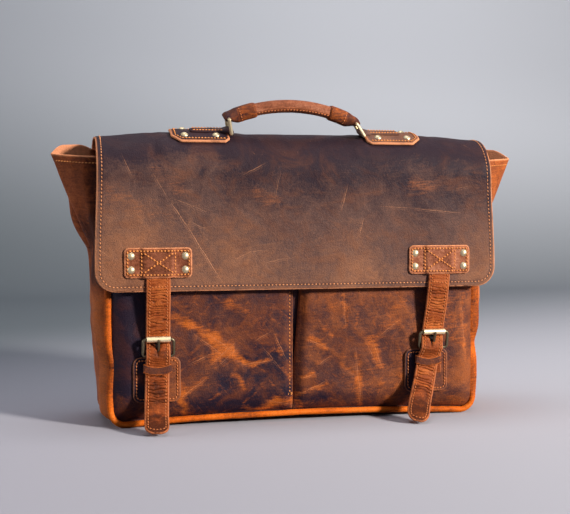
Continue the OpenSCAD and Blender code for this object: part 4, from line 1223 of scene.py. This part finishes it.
def strap_folds(side, x, run, z, gap):
    """Creases over a strap's width and run, deep above and below its buckle: their share, a slow fold field, and
    valleys across the strap, the sharpened crests of a sine with a wandering phase."""
    above = ease((z - 94 * MM) / (8 * MM)) * ease((150 * MM - z) / (12 * MM))
    below = ease((z - 22 * MM) / (12 * MM)) * ease((62 * MM - z) / (8 * MM))
    creased = 0.4 + (above + below) * either(side, 0.95, 0.85)
    fold = ripple(x, run, 5.2 * MM, 93 + side, 4.0)
    phase = run / (3.3 * MM) + 0.6 * ripple(x, run, 6 * MM, 97 + side, 1.6)
    phase = phase + 0.3 * ripple(x, run, 2.6 * MM, 99 + side, 1.6)
    valley = np.clip(0.5 + 0.5 * np.sin(2 * np.pi * phase), 0, 1) ** 2.6
    valley = valley * ease(0.75 + 0.8 * ripple(x, run, 3.6 * MM, 91 + side, 2.0))
    return creased, fold, valley * creased * ease(gap / (2 * MM))


def strap_pit(name, side, x, z):
    """Holes of a strap as a field from 0 to 1, painted near-black as the shade inside them over a shallow dent: the
    prong's slot under the roller, and on the right a round hole above it."""
    roller_z = float(middle(name + "_roller")[2])
    drop = roller_z - 3.6 * MM - z
    slot = 4.4 * MM - 0.3 * np.maximum(drop - 1 * MM, 0)
    pit = ease((slot - np.abs(x + 0.7 * MM)) / (1.2 * MM)) * ease((drop + 1.2 * MM) / MM)
    if side > 0:
        pit = np.maximum(pit, ease((2.0 * MM - np.hypot(x, z - roller_z - 9 * MM)) / (1.2 * MM)))
    return pit


def strap_rows(name, path, half, inset):
    """Stitch rows of a strap: along both edges below its anchor, across it at the flap's lower edge, and bowed
    across its tip."""
    surface, margin, bow = sizes().strap_leather / 2, 5 * MM, 2.2 * MM
    run = run_of(path)
    ahead, out, lean = strap_ways(path)
    rows = []
    keep = (run > margin) & (path[:, 2] < box(name + "_strap_anchor")[0][2])
    for k in (-1, 1):
        line = path + lean * (k * (half - inset))[:, None] + out * (surface - 0.1 * MM)
        rows.append((line[keep], out[keep]))
    near = np.argmin(np.abs(path[:, 2] - LEAF[0][2] - 4 * MM))
    span = np.linspace(-0.75, 0.75, 30)[:, None] * half[near]
    rows.append((path[near] + lean[near] * span + out[near] * (surface + 0.2 * MM), facing(out[near], 30)))
    first = np.argmax(run > margin)
    u = np.linspace(-1, 1, 30)[:, None]
    rows.append((path[first] + lean[first] * (u * (half[first] - inset)) + ahead[first] * (u ** 2 * bow - bow)
                 + out[first] * surface, facing(out[first], 30)))
    return rows


def build_straps():
    """Two wrinkled straps, stitched along both edges, with painted near-black holes for the prong and curling forward
    at their tips.
    """
    s = sizes()
    inset = 2.3 * MM
    for name, side in SIDES:
        path = strap_route(name)
        run = run_of(path)
        _, out, lean = strap_ways(path)
        u = places(2.0, 0.045, 0.1, 0.36) - 1
        tip = either(side, 0.42, 0.7) * s.strap_width
        point = 1 - np.clip(run / tip + 0.045, 0, 1)
        half = either(side, 0.465, 0.45) * s.strap_width * np.sqrt(np.clip(1 - point ** 2.6, 0, 1))
        x = u[None] * half[:, None]
        q = run[:, None] * np.ones_like(u)[None]
        z = path[:, 2][:, None] + 0 * x
        gap = half[:, None] - np.abs(x)
        creased, fold, valley = strap_folds(side, x, q, z, gap)
        pit = strap_pit(name, side, x, z)
        wave = MM * (0.3 * fold * creased * ease(gap / (3 * MM)) - 0.5 * valley)
        wave = wave - 0.25 * MM * bell(gap - inset, 0.9 * MM)
        wave = wave + 0.35 * MM * ease(gap / (5 * MM)) - 1.6 * MM * pit
        mid = path[:, None] + lean[:, None] * x[..., None] + out[:, None] * wave[..., None]
        mid[..., 2] = np.maximum(mid[..., 2], s.strap_leather / 2 + 0.3 * MM)
        tone = 0.5 * fold + 0.4 * ripple(x, q, 14 * MM, 95 + side) + either(side, -0.1, 0.35)
        tone = tone - 1.3 * bell(run, 22 * MM)[:, None] - either(side, 0.05, 0.5) * ease((62 * MM - z) / (20 * MM))
        rub = 0.4 * bell(gap, 1.3 * MM) + 0.45 * np.clip(fold, 0, 1) * (1 - valley)
        rest = np.stack([x + side * 0.3, 0 * x, q], -1)
        # The crease field paints shade into the fold valleys, and the pit field paints the shade inside the holes
        # near-black
        piece = sheet(name + "_strap_leather", mid, s.strap_leather, leather("strap"), rest=rest, tone=tone,
                      rub=rub * (1 - pit), crease=0.9 * valley, pit=pit)
        settle(piece, "flap_leaf", "strap_leather", name + "_strap")
        sew(name + "_strap_stitches", strap_rows(name, path, half, inset), "flap_leaf", pitch=3.4 * MM,
            colour=colours().worn_thread)


def build_patch(name, side):
    """Buckle patch: a flat sheet with round corners, pressed in along its seam, with the strap's shadow painted dark
    on its left part.
    """
    lo, hi = box(name + "_buckle_patch")
    wide, tall = hi[0] - lo[0], hi[2] - lo[2]
    cx, cz = (lo[0] + hi[0]) / 2, (lo[2] + hi[2]) / 2
    corner, inset = 7 * MM, 2.6 * MM
    x, z = rounded_grid(wide, tall, corner, 1.1 * MM)
    gap = np.minimum(wide / 2 - np.abs(x), tall / 2 - np.abs(z))
    y = (lo[1] + hi[1]) / 2 - 0.2 * MM * ripple(x, z, 8 * MM, 101 + side) + 0.25 * MM * bell(gap - inset, 1 * MM)
    # Painted shadow of the strap over the patch's left part, with no rub there
    painted_strap_shadow = np.clip((-x - 3 * MM) / (7 * MM), 0, 1)
    tone = either(side, 0.9, 0.35) + 0.3 * ripple(x, z, 12 * MM, 103 + side) - 2.2 * painted_strap_shadow
    piece = sheet(name + "_patch_leather", np.stack([x + cx, y, z + cz], -1), hi[1] - lo[1], leather("pocket"),
                  tone=tone, rub=0.55 * bell(gap, 1.2 * MM) * (1 - painted_strap_shadow))
    settle(piece, "bag", "strap_leather", name + "_buckle_patch")
    flat = rounded_row(wide, tall, corner, inset)
    row = np.stack([flat[:, 0] + cx, np.full(len(flat), lo[1]), flat[:, 1] + cz], -1)
    sew(name + "_patch_stitches", [(row, facing(FRONTWARDS, len(flat)))], "bag", pitch=3.3 * MM,
        colour=colours().worn_thread)


def build_chape(name):
    """Chape: two ears rolled round the heel bar beside the prong's slot, and a flat tail below them."""
    lo, hi = box(name + "_chape")
    heel = joint_place(name + "_buckle_tilt")
    t = 1.6 * MM
    r = (heel[1] - lo[1]) - t / 2
    slot, parts = 2.6 * MM, []
    for a, b in ((lo[0], heel_x(name) - slot), (heel_x(name) + slot, hi[0])):
        xx = np.linspace(a, b, 8)
        turned = np.linspace(0, 2 * math.pi * 0.94, 34) - math.pi / 2
        ring = np.stack([heel[1] + r * np.cos(turned), heel[2] + r * np.sin(turned)], -1)
        grid = np.stack(np.broadcast_arrays(xx[None, :], ring[:, None, 0], ring[:, None, 1]), -1)
        parts.append(sheet_parts(grid[::-1], t, tone=-0.2, rub=0.2))
    low = np.linspace(lo[2], heel[2] - r - t, 16)
    grid = np.stack(np.broadcast_arrays(np.linspace(lo[0], hi[0], 14)[None], np.full((16, 1), hi[1] - t / 2),
                                        low[:, None]), -1)
    parts.append(sheet_parts(grid, t, tone=-0.2, rub=0.2))
    verts, faces, fields = join(parts)
    piece = make(name + "_chape_leather", verts, faces, leather("strap"), **fields)
    settle(piece, "bag", "strap_leather", name + "_chape")


def build_keeper(name):
    """Keeper: a flat band carried round a squared oval that sags in front."""
    lo, hi = box(name + "_keeper")
    t = 1.3 * MM
    cx, cy, cz = (lo + hi) / 2
    a, b = (hi[0] - lo[0]) / 2 - t / 2, (hi[1] - lo[1]) / 2 - t / 2
    count, square = 97, 0.35
    turn = np.linspace(0, 2 * math.pi, count)
    ring = np.stack([np.sign(np.cos(turn)) * a * np.abs(np.cos(turn)) ** square,
                     np.sign(np.sin(turn)) * b * np.abs(np.sin(turn)) ** square], -1)
    tall = hi[2] - lo[2] - 0.4 * MM
    prof = ovals(np.full(count, t / 2), np.full(count, tall / 2), 16, 5.0)
    front = np.clip(-ring[:, 1] / b, 0, 1)
    sag = -3.0 * MM * front * (1 - (ring[:, 0] / a) ** 2)
    path = np.stack([cx + ring[:, 0], cy + ring[:, 1], cz + sag], -1)
    outward = unit(np.stack([ring[:, 0] / a ** 2, ring[:, 1] / b ** 2, ring[:, 0] * 0], -1))
    tone = 0.3 * ripple(path[:, :1], path[:, 2:], 6 * MM, 105) - 0.1
    # The rub along both rims is worn edge and painted edge highlight
    rim = np.abs(prof[..., 1]) > 0.4 * tall
    verts, faces, fields = tube_parts(path, prof, outward, tone=tone, rub=0.15 + 0.75 * rim)
    piece = make(name + "_keeper_loop", verts, faces, leather("loop"), **fields)
    settle(piece, "bag", "strap_leather", name + "_keeper")


def build_buckle_leather():
    """Stitched buckle patches, the chapes round the heel bars and the keeper loops."""
    for name, side in SIDES:
        build_patch(name, side)
        build_chape(name)
        build_keeper(name)


def heel_x(name):
    """Place of a buckle across the bag."""
    return float(middle(name + "_roller")[0])


# Handle

def on_shoulder(p):
    """Points given about the shoulder's axis, turned forward by the handle's tilt and moved to their place."""
    return shoulder_turn(p) + (0, *flap_lengths()[:2])


def shoulder_turn(v):
    """Directions turned with the handle's tilt."""
    c, n = math.cos(sizes().handle_tilt), math.sin(sizes().handle_tilt)
    return np.stack([v[..., 0], v[..., 1] * c - v[..., 2] * n, v[..., 1] * n + v[..., 2] * c], -1)


LEFT_BAR, RIGHT_BAR = np.array([-75.12, 63.52]) * MM, np.array([63.18, 60.99]) * MM


def on_handle(a, b):
    """Points of the handle's own plane, from midway between the ring bars, as places about the shoulder's axis."""
    mid, along = (LEFT_BAR + RIGHT_BAR) / 2, unit(RIGHT_BAR - LEFT_BAR)
    return np.stack([mid[0] + a * along[0] - b * along[1], 0 * a, mid[1] + a * along[1] + b * along[0]], -1)


GRIP_BEND, GRIP_RISE, GRIP_END = 158 * MM, 14 * MM, math.asin(56 / 158)


def grip_arc(turn):
    """Middle line of the grip in the handle's own plane, at angles from its middle: part of a circle."""
    return GRIP_BEND * np.sin(turn), GRIP_RISE - GRIP_BEND + GRIP_BEND * np.cos(turn)


def build_grip():
    """Rolled grip: a round profile carried along the arc, thickest in its middle, with a stitched ridge between two
    dents along its front."""
    radius, lean = 6.5 * MM, 0.36
    turn = np.linspace(-GRIP_END, GRIP_END, 120)
    path, ref = on_shoulder(on_handle(*grip_arc(turn))), shoulder_turn(FRONTWARDS)
    angle = np.linspace(0, 2 * math.pi, 32, endpoint=False)[None]
    run = (turn * GRIP_BEND)[:, None]
    swell = 1 + 0.035 * np.cos(run / (56 * MM) * math.pi / 2) + 0.012 * ripple(run, angle * 6 * MM, 8 * MM, 111)
    ridge = np.exp(np.cos(angle - 0.12) * 26 - 26)
    dent = 0.045 * (np.exp(np.cos(angle - 0.42) * 60 - 60) + np.exp(np.cos(angle + 0.2) * 60 - 60))
    reach = radius * swell * (1 + 0.06 * ridge - dent)
    profile = np.stack([reach * np.cos(angle), reach * np.sin(angle)], -1)
    tone = 0.35 * ripple(run, angle * 5 * MM, 9 * MM, 113) + 0.15
    verts, faces, fields = tube_parts(path, profile, ref, tone=tone, rub=0.15 + 0.4 * ridge)
    piece = make("grip_leather", verts, faces, leather("grip"), **fields)
    settle(piece, "handle", "strap_leather", "handle_grip")
    first, second = cross_axes(path, ref)
    normal = unit(first * math.cos(lean) + second * math.sin(lean))
    sew("grip_stitches", [(path + normal * radius * 1.02, normal)], "handle", pitch=3.4 * MM,
        colour=colours().worn_thread)


def build_handle_loop(name, side):
    """Loop from a sleeve over the grip's end to the ring bar: a squared oval that grows wider and flatter on its way
    and closes in a round end beyond the bar."""
    radius, stations, sides = 7.9 * MM, 16, 28
    a, b = grip_arc(np.linspace(GRIP_END - math.radians(6.2), GRIP_END + math.radians(1.0), stations))
    goal = np.linspace(0, 1, 22)[1:]
    far = np.linalg.norm(RIGHT_BAR - LEFT_BAR) / 2 + 4.3 * MM
    a = np.concatenate([a, a[-1] + (far - a[-1]) * goal])
    b = np.concatenate([b, b[-1] + (-0.3 * MM - b[-1]) * goal])
    share = np.concatenate([np.zeros(stations), goal])
    left = np.maximum(far - a, 0)
    wide = radius + 2.1 * MM * ease(share / 0.8)
    tall = radius - 3.3 * MM * ease(share / 0.75)
    round_end = np.sqrt(np.clip(1 - (1 - np.clip(left / (4.6 * MM), 0, 1)) ** 2, 0.004, 1))
    start = np.sqrt(np.clip((np.arange(len(a)) + 0.25) / 2.2, 0, 1)) * 0.16 + 0.84
    profile = ovals(wide * start * np.where(left < 1e-6, 0.97, 1), tall * start * round_end, sides, 2.6)
    path, ref = on_shoulder(on_handle(side * a, b)), shoulder_turn(FRONTWARDS)
    tone = 0.4 * ripple(np.arange(len(a))[:, None] * MM, np.arange(sides)[None] * MM, 5 * MM, 115 + side) - 0.25
    verts, faces, fields = tube_parts(path, profile, ref, tone=tone, rub=0.1 + 0.4 * bell(share, 0.06)[:, None])
    piece = make(name + "_loop_leather", verts, faces, leather("loop"), **fields)
    settle(piece, "handle", "flap_leather", name + "_handle_loop")
    seam, angle = 13, np.linspace(-1.2, 1.2, 24)[:, None]
    first, second = (axis[seam] for axis in cross_axes(path, ref))
    normal = first * np.cos(angle) + second * np.sin(angle)
    sew(name + "_loop_stitches", [(path[seam] + normal * radius, normal)], "handle", pitch=3 * MM,
        colour=colours().worn_thread)


def build_handle():
    """Rolled grip with a stitched seam along its front, and leather loops from its ends round the ring bars."""
    build_grip()
    for name, side in SIDES:
        build_handle_loop(name, side)


PLATE, BAR_X, EYE, CLIPPED = 3.2 * MM, 72 * MM, 3.65 * MM, 9 * MM
INNER = BAR_X + EYE


def plate_radius():
    """Distance of the handle plates' middle from the shoulder's axis."""
    return sizes().shoulder + 0.2 * MM + PLATE / 2


def plate_parts(side, span, reach):
    """Curved plate over its span across the bag and its reach to both sides of the ridge: an arc about the shoulder's
    axis with clipped corners, softly puffed and pressed in along its seam."""
    r = plate_radius()
    d = places(span, 0.7 * MM, 1.2 * MM, 4 * MM)
    clip = np.maximum(np.maximum(0, CLIPPED - (span - d)), np.maximum(0, 4 * MM - d))
    v = places(2.0, 0.03, 0.06, 0.2) - 1
    arc = v[:, None] * (reach - clip)[None]
    x = side * (INNER + d)[None] + 0 * arc
    puff = 0.3 * MM * ripple(x, arc, 9 * MM, 121 + side)
    rim = np.minimum((reach - clip)[None] - np.abs(arc), np.minimum(d, span - d)[None])
    rad = r + puff * ease(rim / (5 * MM)) - 0.35 * MM * bell(rim - 3 * MM, 1 * MM)
    grid = np.stack([x, rad * np.sin(arc / r), rad * np.cos(arc / r)], -1)
    if side < 0:
        grid, rim, arc, x = grid[:, ::-1], rim[:, ::-1], arc[:, ::-1], x[:, ::-1]
    # Painted shade: the left plate is much darker than the right, where the grip's shadow falls
    tone = 0.3 * ripple(x, arc, 12 * MM, 123 + side) - either(side, 2.2, -0.4)
    return sheet_parts(on_shoulder(grid), PLATE, tone=tone, rub=0.6 * bell(rim, 1.2 * MM))


def tongue_parts(side):
    """Raised tongue from the eye round the ring bar along its plate: a squared oval, wide and high at the eye, then
    narrow and low, closed at both ends."""
    sides, k = 26, np.linspace(0, 1, 46)
    x = side * (BAR_X - EYE + 0.2 * MM + k * 46 * MM)
    half_w = 10 * MM - 3.6 * MM * ease((k - 0.1) / 0.22)
    half_h = 3.5 * MM - 1.6 * MM * ease((k - 0.12) / 0.2)
    close = np.sqrt(np.clip(1 - (1 - np.clip(np.minimum(k * 12, (1 - k) * 8), 0, 1)) ** 2, 0.01, 1))
    height = plate_radius() + PLATE / 2 + 0.9 * MM - 0.35 * MM * ease(k / 0.15)
    profile = ovals(half_w * (0.7 + 0.3 * close), half_h * close, sides, 2.8)
    # Painted shade: the left tongue is darker than the right, where the grip's shadow falls
    tone = either(side, -1.2, 0.0) + 0.3 * ripple(k[:, None] * 40 * MM, np.arange(sides)[None] * MM, 7 * MM, 125)
    return tube_parts(on_shoulder(np.stack([x, 0 * x, height], -1)), profile, shoulder_turn(FRONTWARDS), tone=tone,
                      rub=0.1)


def plate_rows(side, span, reach):
    """Stitch rows of a plate: at an inset inside its clipped outline, open at the eye, and along both sides of its
    tongue."""
    surface, r, inset = plate_radius() + PLATE / 2, plate_radius(), 3 * MM
    near, far = reach - inset, reach - CLIPPED
    corner = [(inset, -near), (span - CLIPPED, -near), (span - inset, -far),
              (span - inset, far), (span - CLIPPED, near), (inset, near)]
    d, arc = spread(np.array(corner), MM).T
    normal = np.stack([0 * d, np.sin(arc / r), np.cos(arc / r)], -1)
    points = normal * surface + np.stack([side * (INNER + d), 0 * d, 0 * d], -1)
    rows = [(on_shoulder(points), shoulder_turn(normal))]
    x = side * (BAR_X + np.linspace(8, 40, 40) * MM)
    for k in (-1, 1):
        up = unit(np.array([0, k * 0.75, 1.0]))
        points = np.stack([x, np.full(40, k * 4.4 * MM), np.full(40, surface + 2.0 * MM)], -1)
        rows.append((on_shoulder(points), shoulder_turn(facing(up, 40))))
    return rows


def build_handle_anchors():
    """Thick curved plates on the shoulder with clipped corners, a raised tongue and an eye round the ring bar."""
    reach = math.radians(25) * plate_radius()
    for name, side in SIDES:
        span = np.abs(box(name + "_handle_anchor"))[:, 0].max() - INNER
        verts, faces, fields = join([plate_parts(side, span, reach), tongue_parts(side)])
        piece = make(name + "_handle_plate", verts, faces, leather("flap"), **fields)
        settle(piece, "flap_top", "strap_leather", name + "_handle_anchor")
        sew(name + "_plate_stitches", plate_rows(side, span, reach), "flap_top", pitch=3.3 * MM)


# Lit and shaded copies of one brass: rollers and right ring at full brightness as lit parts, rivets and left ring worn
# and half shaded, frames and prongs painted dark as if in shade
BRASS = (
    ("bright brass", 1.0, ("left_roller", "right_roller", "right_ring")),
    ("worn brass", 0.66, ("strap_rivets", "handle_rivets", "left_ring")),
    ("dull brass", 0.16, ("left_buckle_frame", "right_buckle_frame", "left_prong", "right_prong")),
)


def build_fittings():
    """The brass solids keep their shapes and take a worn finish, painted lit or shaded by part, and the grip's core
    takes a cord's.
    """
    dressed = [(name, brass_finish(finish, share)) for finish, share, names in BRASS for name in names]
    for name, finish in (*dressed, ("handle_core", cord_finish())):
        solid = frame["nodes"][name]
        solid.data.materials.clear()
        solid.data.materials.append(finish)


# Stage

PALE, AMBIENT, BOUNCE = tint(190, 192, 200), (0.056, 0.064, 0.08), tint(92, 98, 124)
# Left and right tone of the floor near the bag, of the floor far behind it and of the wall
NEAR_TONES = tint(174, 172, 182), tint(196, 195, 203)
FAR_TONES = tint(96, 103, 108), tint(138, 143, 148)
WALL_TONES = tint(144, 148, 155), tint(206, 209, 216)


def seen_ray(tree):
    """1 on the rays that show the background to the camera, straight or in a bright surface, and 0 on the others."""
    ray = node(tree, "ShaderNodeLightPath").outputs
    seen = calc(tree, "MAXIMUM", ray["Is Camera Ray"], ray["Is Glossy Ray"])
    return calc(tree, "MAXIMUM", seen, ray["Is Transmission Ray"])


def sweep_finish():
    """Studio sweep: pale near the bag, darker far behind it and paler up the wall, from left to right. Far aside and
    in front it turns into an even glow, and the rays that light the bag meet one plain tone."""
    made, tree, shader = begin("studio sweep")
    where = node(tree, "ShaderNodeTexCoord").outputs["Object"]
    across, along, up = node(tree, "ShaderNodeSeparateXYZ", {0: where}).outputs[:]
    aside = window(tree, across, -1.0, 1.2)
    far = window(tree, calc(tree, "MULTIPLY_ADD", across, -0.5, along), 0.0, 1.1)
    high = window(tree, calc(tree, "MULTIPLY_ADD", across, 0.12, up), 0.0, 0.7)
    colour = blend_colour(tree, window(tree, across, -0.6, 0.6), *NEAR_TONES)
    colour = blend_colour(tree, far, colour, blend_colour(tree, aside, *FAR_TONES))
    colour = blend_colour(tree, high, colour, blend_colour(tree, aside, *WALL_TONES))
    seen = seen_ray(tree)
    fade = calc(tree, "MAXIMUM", window(tree, along, -0.65, -1.8),
                window(tree, calc(tree, "ABSOLUTE", across), 1.4, 2.8))
    colour = blend_colour(tree, fade, colour, (0, 0, 0))
    colour = blend_colour(tree, seen, BOUNCE, colour)
    feed(tree, shader, {"Base Color": colour, "Emission Color": (*PALE, 1), "Roughness": 0.85,
                        "Emission Strength": calc(tree, "MULTIPLY", seen, fade), "Specular IOR Level": 0.1})
    return made


def build_sweep():
    """Floor that turns up into a wall: a straight line, a quarter circle and a straight line, carried across."""
    back, bend, top, front = 1.5, 0.7, 2.6, -6.0
    flat = np.stack([np.linspace(front, back, 60), np.zeros(60)], -1)
    turn = np.linspace(0, math.pi / 2, 24)[1:]
    cove = np.stack([back + bend * np.sin(turn), bend * (1 - np.cos(turn))], -1)
    wall = np.stack([np.full(30, back + bend), np.linspace(bend, top, 31)[1:]], -1)
    line = np.concatenate([flat, cove, wall])
    x = np.linspace(-6.0, 6.0, 81)
    grid = np.stack(np.broadcast_arrays(x[None], line[:, None, 0], line[:, None, 1]), -1)
    sweep = make("studio_sweep", grid, quads(*grid.shape[:2]).tolist(), sweep_finish())


def put(name, data, place, ahead):
    """A lamp or camera at its place, looking ahead."""
    piece = bpy.data.objects.new(name, data)
    piece.location = place
    piece.rotation_mode = "QUATERNION"
    piece.rotation_quaternion = ahead.to_track_quat("-Z", "Y")
    bpy.context.scene.collection.objects.link(piece)
    return piece


def lamp(name, place, aim, size, watts, colour, cone=180):
    """Round soft lamp that shines from its place towards an aim, within a cone in degrees."""
    data = bpy.data.lights.new(name, "AREA")
    data.shape, data.size, data.energy, data.color = "DISK", size, watts, colour
    data.spread = math.radians(cone)
    put(name, data, place, Vector(aim) - Vector(place))


def build_light():
    """Key, fill, top and backdrop lamps, and a dim even world that the camera sees as a pale one."""
    lamp("key", (3.14, -3.24, 1.79), (0, 0, 0.15), 0.7, 103.0, (1.0, 0.95, 0.88), 100)
    lamp("fill", (-2.4, 0.05, 0.7), (0, 0, 0.15), 1.0, 17.0, (1.0, 0.97, 0.94))
    lamp("top", (0.0, -0.2, 2.4), (0, 0, 0), 1.8, 12.0, (0.92, 0.95, 1.0))
    lamp("backdrop", (0, 0.3, 2.5), (0, 2.2, 0.9), 1.6, 22.0, (0.97, 0.98, 1.0))
    world = bpy.data.worlds.new("studio")
    world.use_nodes = True
    tree = world.node_tree
    shown = blend_colour(tree, seen_ray(tree), AMBIENT, PALE)
    tree.links.new(shown, tree.nodes["Background"].inputs[0])
    bpy.context.scene.world = world
    bpy.context.scene.view_settings.view_transform = "Standard"


def build_camera():
    """Camera at the photograph's angle: turned a little to the left, slightly above the bag's middle."""
    data = bpy.data.cameras.new("camera")
    data.sensor_fit, data.sensor_width, data.lens = "HORIZONTAL", 36.0, 67.05
    turn, rise, gap = math.radians(-13), math.radians(2.869), 1.17425
    aim = Vector((-3.544 * MM, 0, 172.03 * MM))
    away = Vector((math.sin(turn) * math.cos(rise), -math.cos(turn) * math.cos(rise), math.sin(rise)))
    bpy.context.scene.camera = put("camera", data, aim + away * gap, -away)


def build_stage():
    """Pale floor that sweeps up into a plain backdrop, soft lamps and the camera."""
    build_sweep()
    build_light()
    build_camera()


# Operators and panel

class SATCHEL_OT_stage(bpy.types.Operator):
    """Floor, backdrop, lamps and camera"""
    bl_idname = "satchel.stage"
    bl_label = "Stage"

    def execute(self, context):
        build_stage()
        return {"FINISHED"}


class SATCHEL_OT_flap(bpy.types.Operator):
    """Flap leather with its stitching"""
    bl_idname = "satchel.flap"
    bl_label = "Flap"

    def execute(self, context):
        build_flap()
        return {"FINISHED"}


class SATCHEL_OT_pockets(bpy.types.Operator):
    """Two front pockets with their middle seam"""
    bl_idname = "satchel.pockets"
    bl_label = "Pockets"

    def execute(self, context):
        build_pockets()
        return {"FINISHED"}


class SATCHEL_OT_panels(bpy.types.Operator):
    """Front, back and bottom panels and the divider"""
    bl_idname = "satchel.panels"
    bl_label = "Panels"

    def execute(self, context):
        build_panels()
        return {"FINISHED"}


class SATCHEL_OT_gussets(bpy.types.Operator):
    """Folded side walls with their ears"""
    bl_idname = "satchel.gussets"
    bl_label = "Gussets"

    def execute(self, context):
        build_gussets()
        return {"FINISHED"}


class SATCHEL_OT_piping(bpy.types.Operator):
    """Rolled piping along the base and the sides"""
    bl_idname = "satchel.piping"
    bl_label = "Piping"

    def execute(self, context):
        build_piping()
        return {"FINISHED"}


class SATCHEL_OT_strap_anchors(bpy.types.Operator):
    """Stitched patches that hold the straps"""
    bl_idname = "satchel.strap_anchors"
    bl_label = "Strap anchors"

    def execute(self, context):
        build_strap_anchors()
        return {"FINISHED"}


class SATCHEL_OT_straps(bpy.types.Operator):
    """Wrinkled straps with their stitching"""
    bl_idname = "satchel.straps"
    bl_label = "Straps"

    def execute(self, context):
        build_straps()
        return {"FINISHED"}


class SATCHEL_OT_buckle_leather(bpy.types.Operator):
    """Buckle patches, chapes and keepers"""
    bl_idname = "satchel.buckle_leather"
    bl_label = "Buckle leather"

    def execute(self, context):
        build_buckle_leather()
        return {"FINISHED"}


class SATCHEL_OT_handle(bpy.types.Operator):
    """Rolled grip and its end loops"""
    bl_idname = "satchel.handle"
    bl_label = "Handle"

    def execute(self, context):
        build_handle()
        return {"FINISHED"}


class SATCHEL_OT_handle_anchors(bpy.types.Operator):
    """Plates that hold the handle's rings"""
    bl_idname = "satchel.handle_anchors"
    bl_label = "Handle anchors"

    def execute(self, context):
        build_handle_anchors()
        return {"FINISHED"}


class SATCHEL_OT_fittings(bpy.types.Operator):
    """Brass buckles, rollers, prongs, rings and rivets, and the grip's cord"""
    bl_idname = "satchel.fittings"
    bl_label = "Fittings"

    def execute(self, context):
        build_fittings()
        return {"FINISHED"}


OPERATORS = (
    SATCHEL_OT_stage, SATCHEL_OT_flap, SATCHEL_OT_pockets, SATCHEL_OT_panels, SATCHEL_OT_gussets, SATCHEL_OT_piping,
    SATCHEL_OT_strap_anchors, SATCHEL_OT_straps, SATCHEL_OT_buckle_leather, SATCHEL_OT_handle,
    SATCHEL_OT_handle_anchors, SATCHEL_OT_fittings,
)


class SATCHEL_PT_panel(bpy.types.Panel):
    """Sizes, colours and pieces of the satchel"""
    bl_idname = "SATCHEL_PT_panel"
    bl_label = "Satchel"
    bl_space_type = "VIEW_3D"
    bl_region_type = "UI"
    bl_category = "Satchel"

    def draw(self, context):
        for operator in OPERATORS:
            self.layout.operator(operator.bl_idname)
        for group in (context.scene.satchel_sizes, context.scene.satchel_colours):
            for key in group.__annotations__:
                self.layout.prop(group, key)


CLASSES = (SatchelSizes, SatchelColours, *OPERATORS, SATCHEL_PT_panel)


def register():
    for cls in CLASSES:
        bpy.utils.register_class(cls)
    bpy.types.Scene.satchel_sizes = bpy.props.PointerProperty(type=SatchelSizes)
    bpy.types.Scene.satchel_colours = bpy.props.PointerProperty(type=SatchelColours)


def unregister():
    del bpy.types.Scene.satchel_colours
    del bpy.types.Scene.satchel_sizes
    for cls in reversed(CLASSES):
        bpy.utils.unregister_class(cls)


def main():
    """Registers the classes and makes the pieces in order."""
    register()
    for operator in OPERATORS:
        group, name = operator.bl_idname.split(".")
        getattr(getattr(bpy.ops, group), name)()


if __name__ == "__main__":
    main()
